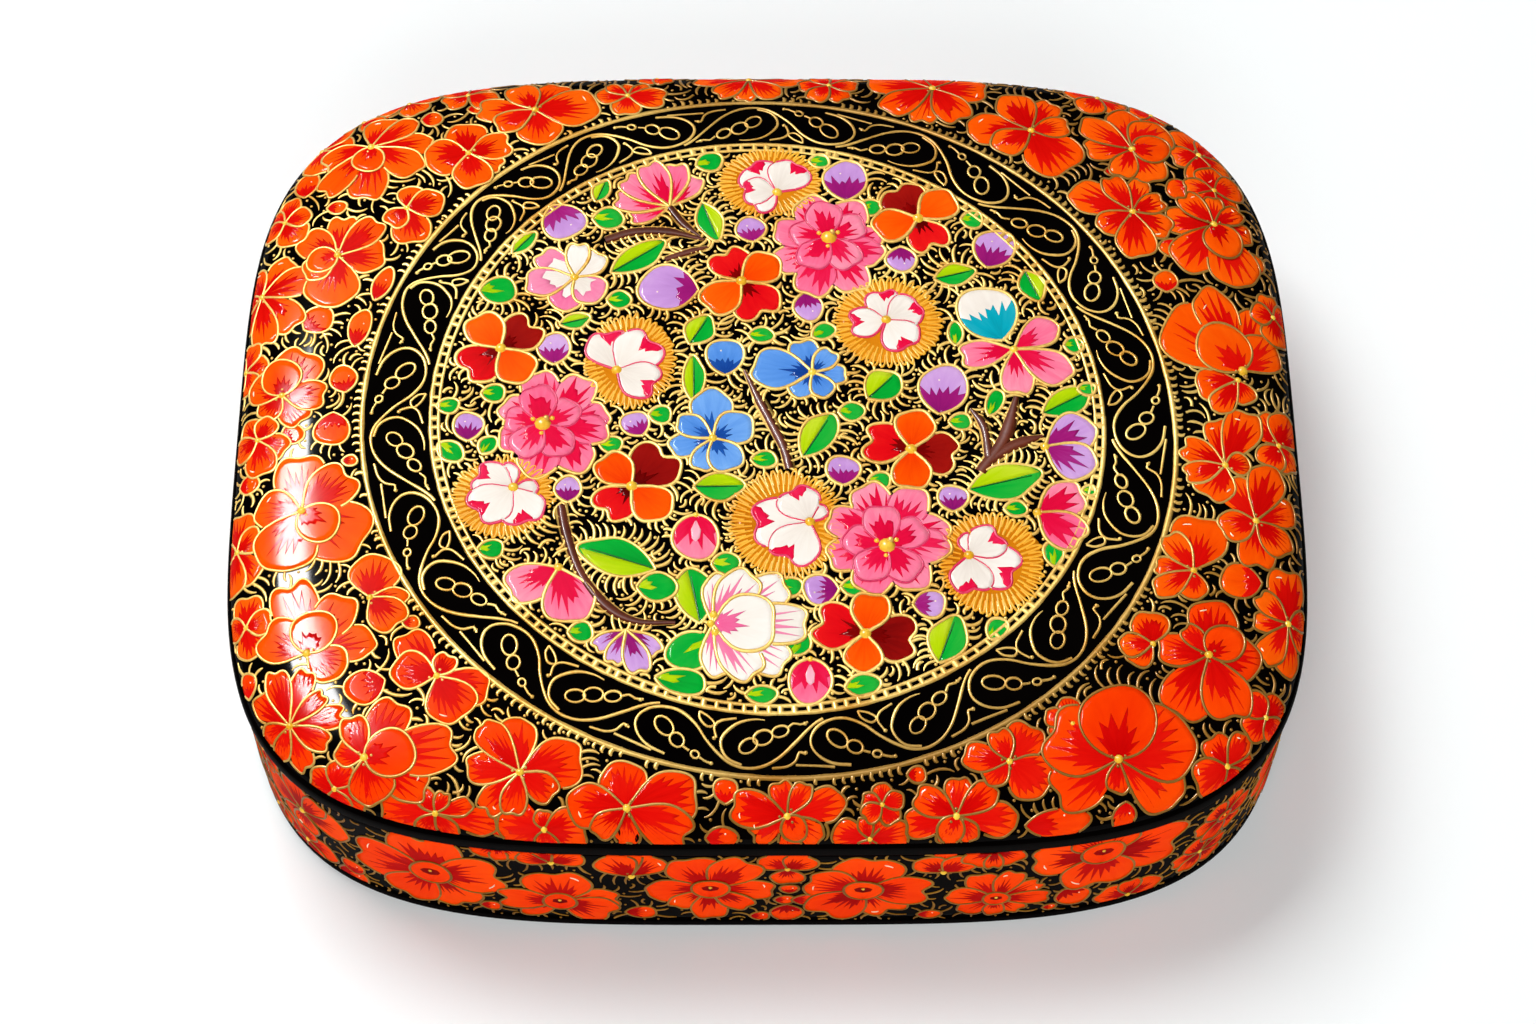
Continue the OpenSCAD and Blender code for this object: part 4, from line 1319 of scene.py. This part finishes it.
BOUGHS = (
    (((-23.2, 30.5), (-19, 32), (-14, 32), (-9, 30.5)), 0.7), (((-14, 36.5), (-12, 33.5), (-9.5, 31)), 0.55),
    (((-14.5, 27), (-12, 28), (-8.5, 29.2)), 0.5), (((3, -9), (2, -5), (-1, 2), (-3.2, 7.5)), 0.75),
    (((29.5, -9.5), (33, -4), (35, 3)), 0.95), (((30.8, -7), (30.2, -2), (28.5, 1)), 0.7),
    (((31, -7.5), (34.5, -5), (38.5, -3.5)), 0.85),
    (((-28.5, -15), (-27.5, -20), (-25.5, -26), (-22, -31), (-18, -33.5), (-12.6, -33.8)), 0.75),
)
for points, thick in BOUGHS:
    bough(points, thick)


LEAVES = (
    (-8.2, 34, 7.2, 4, -72), (-18.5, 27.3, 9.5, 4.5, 35), (-35, 30, 5, 2.6, 50), (-24, 39.5, 4.3, 2.7, 70),
    (26.9, 24.2, 6, 4, 15), (38, 22.5, 5.5, 4, -70), (-9.6, 14.4, 5.5, 4.5, 60), (-10.3, 6, 8, 3.2, 90),
    (16.2, 4.8, 6, 5.5, 45), (42, 2.2, 8, 4.5, 30), (7, -3.5, 8.5, 5, 60), (32.8, -11.2, 10.5, 6, 15),
    (-6.8, -12, 7, 4.8, 0), (-20.5, -23.5, 11, 6, 160),
    (24.2, -36.5, 7.5, 5.5, 70), (-10, -29.5, 9, 5.4, 100),
    (-27.3, 16.1, 4.5, 2.8, 15),
)
SMALL_LEAVES = (
    (-10.4, -38, 6.5, 5.4, 215), (-11.8, -42.8, 6.5, 3.6, -10), (-8.3, 45, 3.8, 3.4, 20),
    (-22.9, 34.4, 4.2, 3.8, 0),
    (-38.4, 21.6, 5, 4.4, 0), (29.8, 34.2, 3, 3, 0), (15.1, 36.4, 3, 2.8, 0), (-21.1, 19.8, 3.2, 3, 0),
    (-0.8, 13.6, 3.4, 2.6, 0), (8, 14.2, 3.4, 2.6, 30), (26.8, 13.8, 3.8, 2, 90), (43.5, 12, 2.6, 2.6, 0),
    (-44.8, 1.8, 3, 2.4, 0), (-38.5, 3.8, 3.2, 2.8, 0), (-15, 0, 3, 2.8, 0), (-21.8, -5, 3, 2.6, 0),
    (-0.5, -7.5, 3.4, 2.6, 0), (-44.2, -5.8, 4, 3, -40), (-39, -5, 3, 2.4, 60), (11.8, 0.5, 3.4, 3, 0),
    (27, -1.2, 3, 2.6, 0), (31.9, 2, 4.5, 2.2, 70), (45, 4.5, 2.4, 2, 0), (15.5, -11, 3, 2.6, 0),
    (34.2, -15.6, 3, 2.4, 0), (44.5, -12.5, 1.8, 1.6, 0), (39.2, -22.8, 4, 2.6, 90), (-38, -22, 3.4, 2.8, 0),
    (-15.2, -28.2, 5, 4.3, 0), (-5.8, -24.5, 3.6, 3.4, 0),
    (2.6, -28.2, 4, 2.8, 0), (11.8, -28.2, 3.6, 2.8, 0),
    (-25.4, -35.2, 3.2, 3, 0), (4.2, -37.2, 3.6, 2.8, 60), (30.9, -34.8, 3.4, 2.6, 60),
    (12.6, -43.4, 4.5, 3.2, 10),
    (-1, -44.8, 4, 2.6, 0), (7.8, 45.2, 2.8, 2.4, 0),
)
for spot in LEAVES:
    leaf(*spot)
for x, y, length, width, aim in SMALL_LEAVES:
    body = lid.lay(cup(x, y, length * 1.08, width * 1.08, aim), "leaf green", thick=CONTOUR)
    lid.flame(body, "spring green", reach=0.6, fingers=3, low=-0.2, high=0.8)

LILAC_BUDS = (
    (11.6, 41.4, 7, 6, 90), (-29.4, 34, 6.2, 6, -60), (-2.2, 32.3, 4.2, 4.2, 100), (19.4, 27, 4.2, 4.2, -90),
    (32.8, 28.8, 6.5, 5.6, 70), (5.9, 18.6, 4.8, 4, -80),
    (-30.1, 11.3, 5, 4.4, 90), (-18.4, -1.6, 4, 3.8, 120),
    (-41.8, -1.8, 4.5, 4, 90), (-27.6, -12.4, 4, 3.5, 90),
    (24.8, 4.2, 7.8, 6.5, 80), (10.5, -9.4, 4.5, 4.5, 90),
    (25.6, -14, 4, 4, 90), (7.2, -28.6, 4.6, 4.5, 180), (21.9, -30.9, 4.2, 4, 0),
)
for spot in LILAC_BUDS:
    bud(*spot, "lilac", "purple", 0.58)
bud(-5.9, 9.8, 5.8, 5, 90, "sky blue", "navy", 0.5)
bud(-14, 21.9, 8, 7.4, 175, "lilac", "purple", 0.42, 5)

PANSIES = (
    (1.6, 39.2, 0.5, 41.2, 7.2, 6.2, ((128, 7), (215, 4.8), (62, 6.8), (175, 5.4))),
    (-21.2, 7.6, -19.4, 9.2, 6.3, 7.6, ((105, 7.4), (49, 8), (-27, 6.8))),
    (-35.2, -12, -36.7, -13.5, 6.8, 6.4, ((118, 4.4), (-15, 3.8), (157, 6.2), (292, 6.8), (221, 7.2))),
    (5.8, -17.8, 2.4, -18.1, 7.4, 8.4, ((65, 3.6), (181, 8.6), (115, 6.4), (241, 7.7))),
    (27.5, -23.2, 30.5, -24.4, 6.9, 8, ((80, 3.8), (-25, 7.7), (40, 6), (-86, 6.4))),
    (17, 16.2, 17.2, 15.8, 7.3, 7.4, ((95, 5.6), (188, 5.6), (30, 6), (-54, 6.2))),
)
ROSES = (
    (8.9, 29.4, 14.7, 17.2, 9, 30.8), (-29.9, -1.5, 14.2, 17, -31.4, -1.5),
    (16.4, -20.5, 15.8, 17, 16.3, -21.7),
)
for spot in PANSIES:
    pansy(*spot)
for spot in ROSES:
    rose(*spot)

RED, WINE, ORANGE = ("pillar red", "eye"), ("wine", "eye"), ("orange", "flame")
CROSSWISE = (
    (22, 34.4, ((120, 6.6, *WINE), (292, 6, *RED), (40, 6.8, *ORANGE), (198, 6.8, *ORANGE))),
    (-3.6, 23.1, ((115, 6, *RED), (300, 7, *RED), (38, 6.6, *ORANGE), (225, 7, *ORANGE))),
    (-37.7, 11.5, ((42, 6.4, *WINE), (220, 6.6, *RED), (125, 6.8, *ORANGE), (305, 6.8, *ORANGE))),
    (-18.8, -11.9, ((48, 7.6, *WINE), (230, 6, *RED), (130, 6.4, *ORANGE), (315, 7, *ORANGE))),
    (20, -5.8, ((165, 6.6, *RED), (350, 6.6, *WINE), (80, 6.6, *ORANGE), (270, 6.6, *ORANGE))),
    (13.1, -35.5, ((165, 7, *RED), (350, 7, *WINE), (78, 6.4, *ORANGE), (265, 6, *ORANGE))),
)
for spot in CROSSWISE:
    crosswise(*spot)

spray(-27.5, 23.8, ((50, 5.6), (85, 6), (140, 6.6), (190, 7), (252, 6), (315, 5.4)), "shell white",
      "candy pink", tips=0.5)
spray(6.4, 7.2, ((108, 5.6), (50, 4.6), (-8, 4.8), (-62, 4.6), (-122, 4.8), (174, 8.4)), "sky blue", "navy",
      0.5)
spray(-7.6, -4, ((92, 8), (145, 5.6), (195, 6), (30, 6), (250, 5.4), (300, 5.8)), "sky blue", "navy",
      0.55, notch=0.0)
teal_cup = lid.lay(cup(31.6, 17.2, 9.8, 8.6, 112), "shell white", thick=CONTOUR)
lid.dip(teal_cup, "teal", 0.66, 11, 0.76)
spray(35, 11.2, ((38, 7.6), (-31, 9), (-86, 7.6), (190, 7.6)), "rose pink", "crimson", 0.7, 33)
spray(-14, 36.6, ((202, 6), (52, 6.8), (170, 8), (82, 8), (142, 8.4), (112, 8.6)), "rose pink", "crimson",
      0.72, 27, eye=False)
spray(38.7, -5.3, ((30, 7.8), (-31, 7.6)), "lilac", "purple", 0.85, 44)
spray(-19.2, -34.9, ((212, 5), (-38, 5.6), (250, 5.4), (-72, 6.8)), "lilac", "purple", 0.75, 28, eye=False)
spray(-28.6, -25, ((211, 7.7), (286, 8.8)), "rose pink", "crimson", 0.8, 44, fingers=8)
spray(37.2, -16.2, ((30, 7.2), (-38, 7.4)), "rose pink", "crimson", 0.9, 44)
tulip(-9.9, -20.3, 7.4, 6.5, -90)
tulip(5.6, -42.8, 6.8, 6.0, -90)
PEONY = ((80, 8, 32), (-82, 8.2, 32), (34, 12, 27), (-34, 12, 27), (0, 13, 27), (-56, 10, 30), (58, 9.6, 32),
         (2, 8.6, 62))
for aim, length, spread in PEONY:
    petal = lid.lay(Petal(-7.5, -34, aim, length, spread, 0.34, 0.02), "shell white", thick=CONTOUR)
    lid.flame(petal, "candy pink", reach=0.92 if spread < 40 else 0.55, fingers=8, low=-0.94, high=0.94,
              gap=0.6)
for x, y in ((-7.4, -32.6), (-7.8, -34), (-7.2, -35.4)):
    lid.dot("pollen", x, y, 0.55, 0.4)


# ---------------------------------------------------------------- gold filling
# What is left of the black is filled last with short gold hooks that spring from the flowers'
# edges in combs, then with commas and dots wherever another still fits.
class Room:
    """The bare lacquer that is left on a bed, kept on a fine grid."""

    CELL = 0.15

    def __init__(self, x_low, x_high, y_low, y_high):
        self.x, self.y = x_low, y_low
        self.columns = int((x_high - x_low) / self.CELL) + 1
        self.rows = int((y_high - y_low) / self.CELL) + 1
        self.taken = np.zeros((self.rows, self.columns), bool)
        self.grid = np.stack(np.meshgrid(self.x + np.arange(self.columns) * self.CELL,
                                         self.y + np.arange(self.rows) * self.CELL), -1)

    def cells(self, points):
        column = ((points[..., 0] - self.x) / self.CELL + 0.5).astype(int)
        row = ((points[..., 1] - self.y) / self.CELL + 0.5).astype(int)
        inside = (column >= 0) & (column < self.columns) & (row >= 0) & (row < self.rows)
        return np.clip(row, 0, self.rows - 1), np.clip(column, 0, self.columns - 1), inside

    def mark(self, points):
        row, column, inside = self.cells(points)
        self.taken[row[inside], column[inside]] = True

    def take(self, points, radius):
        steps = np.arange(-radius, radius + 1e-6, self.CELL)
        dx, dy = np.meshgrid(steps, steps)
        near = dx ** 2 + dy ** 2 <= radius ** 2
        self.mark(points[:, None, :] + np.stack([dx[near], dy[near]], -1)[None])

    def take_loop(self, loop):
        low, high = loop.min(0), loop.max(0)
        spots = np.stack(np.meshgrid(np.arange(low[0], high[0], self.CELL),
                                     np.arange(low[1], high[1], self.CELL)), -1).reshape(-1, 2)
        self.mark(spots[within(spots, loop)])

    def free(self, points):
        row, column, inside = self.cells(points)
        return bool(inside.all() and not self.taken[row, column].any())


HOOK_POINTS = 7
HOOK_LEAN = 0.25
COMMA_CURL = 2.2


def hook_path(x, y, aim, length, bend):
    """A short stroke that sets off along aim and curls over to one side."""
    heading = aim + bend * np.linspace(0, 1, HOOK_POINTS) ** 1.4
    step = length / (HOOK_POINTS - 1)
    xs = x + np.concatenate([[0], np.cumsum(np.cos(heading[:-1]))]) * step
    ys = y + np.concatenate([[0], np.cumsum(np.sin(heading[:-1]))]) * step
    return np.stack([xs, ys], -1)


def fill(painting, room, shapes, pitch, length, thick, gap, comma_pitch, curl=1.8):
    """Combs of hooks round every shape, then commas and dots in what is left."""
    chance = painting.chance
    for shape in shapes:
        loop = shape["loop"]
        centre = loop.mean(0)
        run = np.concatenate([[0], np.cumsum(np.linalg.norm(np.diff(loop, axis=0), axis=1))])
        bend = chance.choice((-1, 1)) * chance.uniform(0.7, 1.25) * curl
        for at in np.arange(pitch / 2, run[-1], pitch):
            foot, ahead = (np.array([np.interp(a, run, loop[:, 0]), np.interp(a, run, loop[:, 1])])
                           for a in (at, at + 0.3))
            outward = np.array([ahead[1] - foot[1], foot[0] - ahead[0]])
            if outward @ (foot - centre) < 0:
                outward = -outward
            aim = math.atan2(outward[1], outward[0]) - bend * HOOK_LEAN
            for share in (chance.uniform(0.9, 1.3), 0.75, 0.5):
                path = hook_path(*foot, aim, length * share, bend)
                if room.free(path[2:]):
                    painting.line("gold fill", path, thick * chance.uniform(0.85, 1.15), taper=1)
                    room.take(path[2:], thick + gap)
                    break
    step = int(round(comma_pitch / room.CELL))
    for row in range(0, room.rows, step):
        for column in range(row // step % 2 * step // 2, room.columns, step):
            if room.taken[row, column]:
                continue
            x, y = room.grid[row, column] + chance.uniform(-0.2, 0.2, 2)
            first = chance.uniform(0, 2 * math.pi)
            for share, turn in [(share, turn) for share in (1.0, 0.62) for turn in range(6)]:
                bend = chance.choice((-1, 1)) * COMMA_CURL
                path = hook_path(x, y, first + turn * math.pi / 3, length * share, bend)
                if room.free(path):
                    painting.line("gold fill", path, thick, taper=1)
                    room.take(path, thick + gap)
                    break
            else:
                spot = np.array([[x, y]])
                if room.free(spot):
                    painting.dot("gold fill", x, y, thick * 1.15)
                    room.take(spot, thick * 1.15 + gap)


def room_for(x_low, x_high, y_low, y_high, shapes, margin, is_outside):
    """The room between the shapes within these limits, in mm."""
    room = Room(x_low, x_high, y_low, y_high)
    for shape in shapes:
        room.take_loop(shape["loop"])
        room.take(shape["loop"], margin)
    room.taken |= is_outside(room.grid[..., 0], room.grid[..., 1])
    return room


EDGE_SPREAD = float(np.interp(rim_reach, REACH_TABLE, ARC_TABLE)) - 0.004
MIDDLE_RADIUS = 52


def within_ring(ring, x, y, margin):
    return np.hypot(x, y) < ring_radius(ring, np.arctan2(y, x)) + margin


def off_border(x, y):
    return within_ring(OUTER_RING, x, y, 0.5) | (lid_spread(x, y) > EDGE_SPREAD)


def off_middle(x, y):
    return ~within_ring(INNER_RING, x, y, -TRELLIS_DEPTH - 0.4)


def off_strip(x, y):
    return (x < 0) | (x > WALL_LENGTH)


far_out = [np.hypot(*shape["loop"].mean(0)) > MIDDLE_RADIUS for shape in lid.shapes]
border_shapes = [shape for shape, far in zip(lid.shapes, far_out) if far]
middle_shapes = [shape for shape, far in zip(lid.shapes, far_out) if not far]
border = room_for(-80, 80, -72, 72, border_shapes, 0.42, off_border)
fill(lid, border, [{"loop": round_path(OUTER_RING, -0.3)}], 1.25, 1.0, 0.3, 0.1, 50)
fill(lid, border, border_shapes, 1.12, 3.4, 0.23, 0.26, 1.35, 1.3)
middle = room_for(-50, 50, -50, 50, middle_shapes, 0.34, off_middle)
fill(lid, middle, middle_shapes, 0.95, 2.9, 0.25, 0.16, 0.85, 1.4)
# The strip's two ends meet at the front, so a shape near one end takes its room at both.
wall_loops = [shape["loop"] for shape in wall.shapes]
strip = room_for(-3, WALL_LENGTH + 3, foot_top + 0.3, wall_top - 0.2,
                 [{"loop": loop + (shift, 0)} for loop in wall_loops for shift in (0, WALL_LENGTH)],
                 0.42, off_strip)
fill(wall, strip, [{"loop": loop + (WALL_LENGTH if loop[0, 0] < 0 else 0, 0)} for loop in wall_loops],
     1.5, 2.6, 0.2, 0.5, 1.7, 1.2)


# ---------------------------------------------------------------- the painted pieces
# Each paint on each half of the box is one piece, cut level where the black edges begin. The heights
# are in mm, the lower and the upper one that the painting keeps between.
PAINTED = (
    ("lid", lid, gold, (rim_top + 0.25, lid_top + 5), "painted_lid"),
    ("tray", wall, shaded_wall_gold, (foot_top + 0.3, wall_top - 0.25), "painted_wall"),
)


def laid(mesh, body):
    """Put a finished painting mesh on its half of the box."""
    piece = link(mesh.name, mesh)
    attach(piece, body)


for body, painting, metal, bounds, slot_name in PAINTED:
    painting.outline_petals()
    for paint in painting.patches:
        mesh = paint_mesh(body + "_" + paint.replace(" ", "_") + "_paint", painting, paint)
        mesh.materials.append(PAINTS[paint])
        trim(mesh, bounds[0], True)
        if body == "tray":
            trim(mesh, bounds[1], False)
        laid(mesh, body)
    for kinds, make, ending in ((painting.lines, line_mesh, "_line"), (painting.dots, dot_mesh, "_dots")):
        for kind in kinds:
            finish = metal if kind.startswith("gold") else PAINTS[kind]
            mesh = make(body + "_" + kind.replace(" ", "_") + ending, painting, kind, finish, bounds)
            laid(mesh, body)


# ---------------------------------------------------------------- table and lamps
# The box stands on a white table top that runs out of the picture. One long soft lamp at the left
# puts its reflection down the lid's shoulder, and wide dim ones fill the front and the top.
TABLE_HALF = 4.0
CARD_GLOW = 0.22
table_mesh = bpy.data.meshes.new("table")
corners = [(x * TABLE_HALF, y * TABLE_HALF, 0) for x, y in ((-1, -1), (1, -1), (1, 1), (-1, 1))]
table_mesh.from_pydata(corners, [], [(0, 1, 2, 3)])
table = link("table", table_mesh)
white_card, tree = new_finish("matt white card")
rays = add_node(tree, "ShaderNodeLightPath")
seen = add_node(tree, "ShaderNodeMath", {0: rays.outputs["Is Camera Ray"], 1: rays.outputs["Is Glossy Ray"]},
                operation="MAXIMUM")
seen = add_node(tree, "ShaderNodeMath", {0: seen, 1: rays.outputs["Is Transmission Ray"]},
                operation="MAXIMUM")
glow = add_node(tree, "ShaderNodeMath", {0: seen, 1: CARD_GLOW}, operation="MULTIPLY")
card = add_node(tree, "ShaderNodeBsdfDiffuse", {"Color": linear("#E2E6E6"), "Roughness": 0.0})
lit = add_node(tree, "ShaderNodeEmission", {"Color": linear("#FFFFFF"), "Strength": glow})
both = add_node(tree, "ShaderNodeAddShader", {0: card, 1: lit})
add_node(tree, "ShaderNodeOutputMaterial", {"Surface": both})
table_mesh.materials.append(white_card)

world = bpy.data.worlds.new("studio")
world.use_nodes = True
bpy.context.scene.world = world
world.node_tree.nodes.clear()
sky = add_node(world.node_tree, "ShaderNodeBackground", {"Color": linear("#F4F6FA"), "Strength": 0.05})
add_node(world.node_tree, "ShaderNodeOutputWorld", {"Surface": sky})


def soft_lamp(name, direction, distance, size, power, mirrored=False, turn=0.0):
    """A rectangular lamp that faces the middle of the box, turned in its own plane. Only a mirrored
    one shows in the varnish, and it lights nothing besides."""
    lamp = bpy.data.lights.new(name, "AREA")
    lamp.shape = "RECTANGLE"
    lamp.size, lamp.size_y = size
    lamp.energy = power
    made = bpy.data.objects.new(name, lamp)
    bpy.context.collection.objects.link(made)
    place = Vector(direction).normalized() * distance
    made.location = place + Vector((0, 0, 0.02))
    made.rotation_euler = (place.to_track_quat("Z", "Y") @ Quaternion((0, 0, 1), turn)).to_euler()
    made.visible_glossy = mirrored
    made.visible_diffuse = not mirrored


soft_lamp("key", (-0.36, 0.42, 0.84), 1.2, (0.7, 0.7), 14.4)
soft_lamp("front_fill", (0.05, -0.9, 0.42), 1.3, (1.2, 0.9), 13.8)
soft_lamp("left_window", (-0.44, 0.37, 0.818), 0.9, (0.12, 0.38), 52.0, mirrored=True, turn=math.radians(-34))

bpy.context.scene.view_settings.view_transform = "Standard"

bpy.context.view_layer.update()
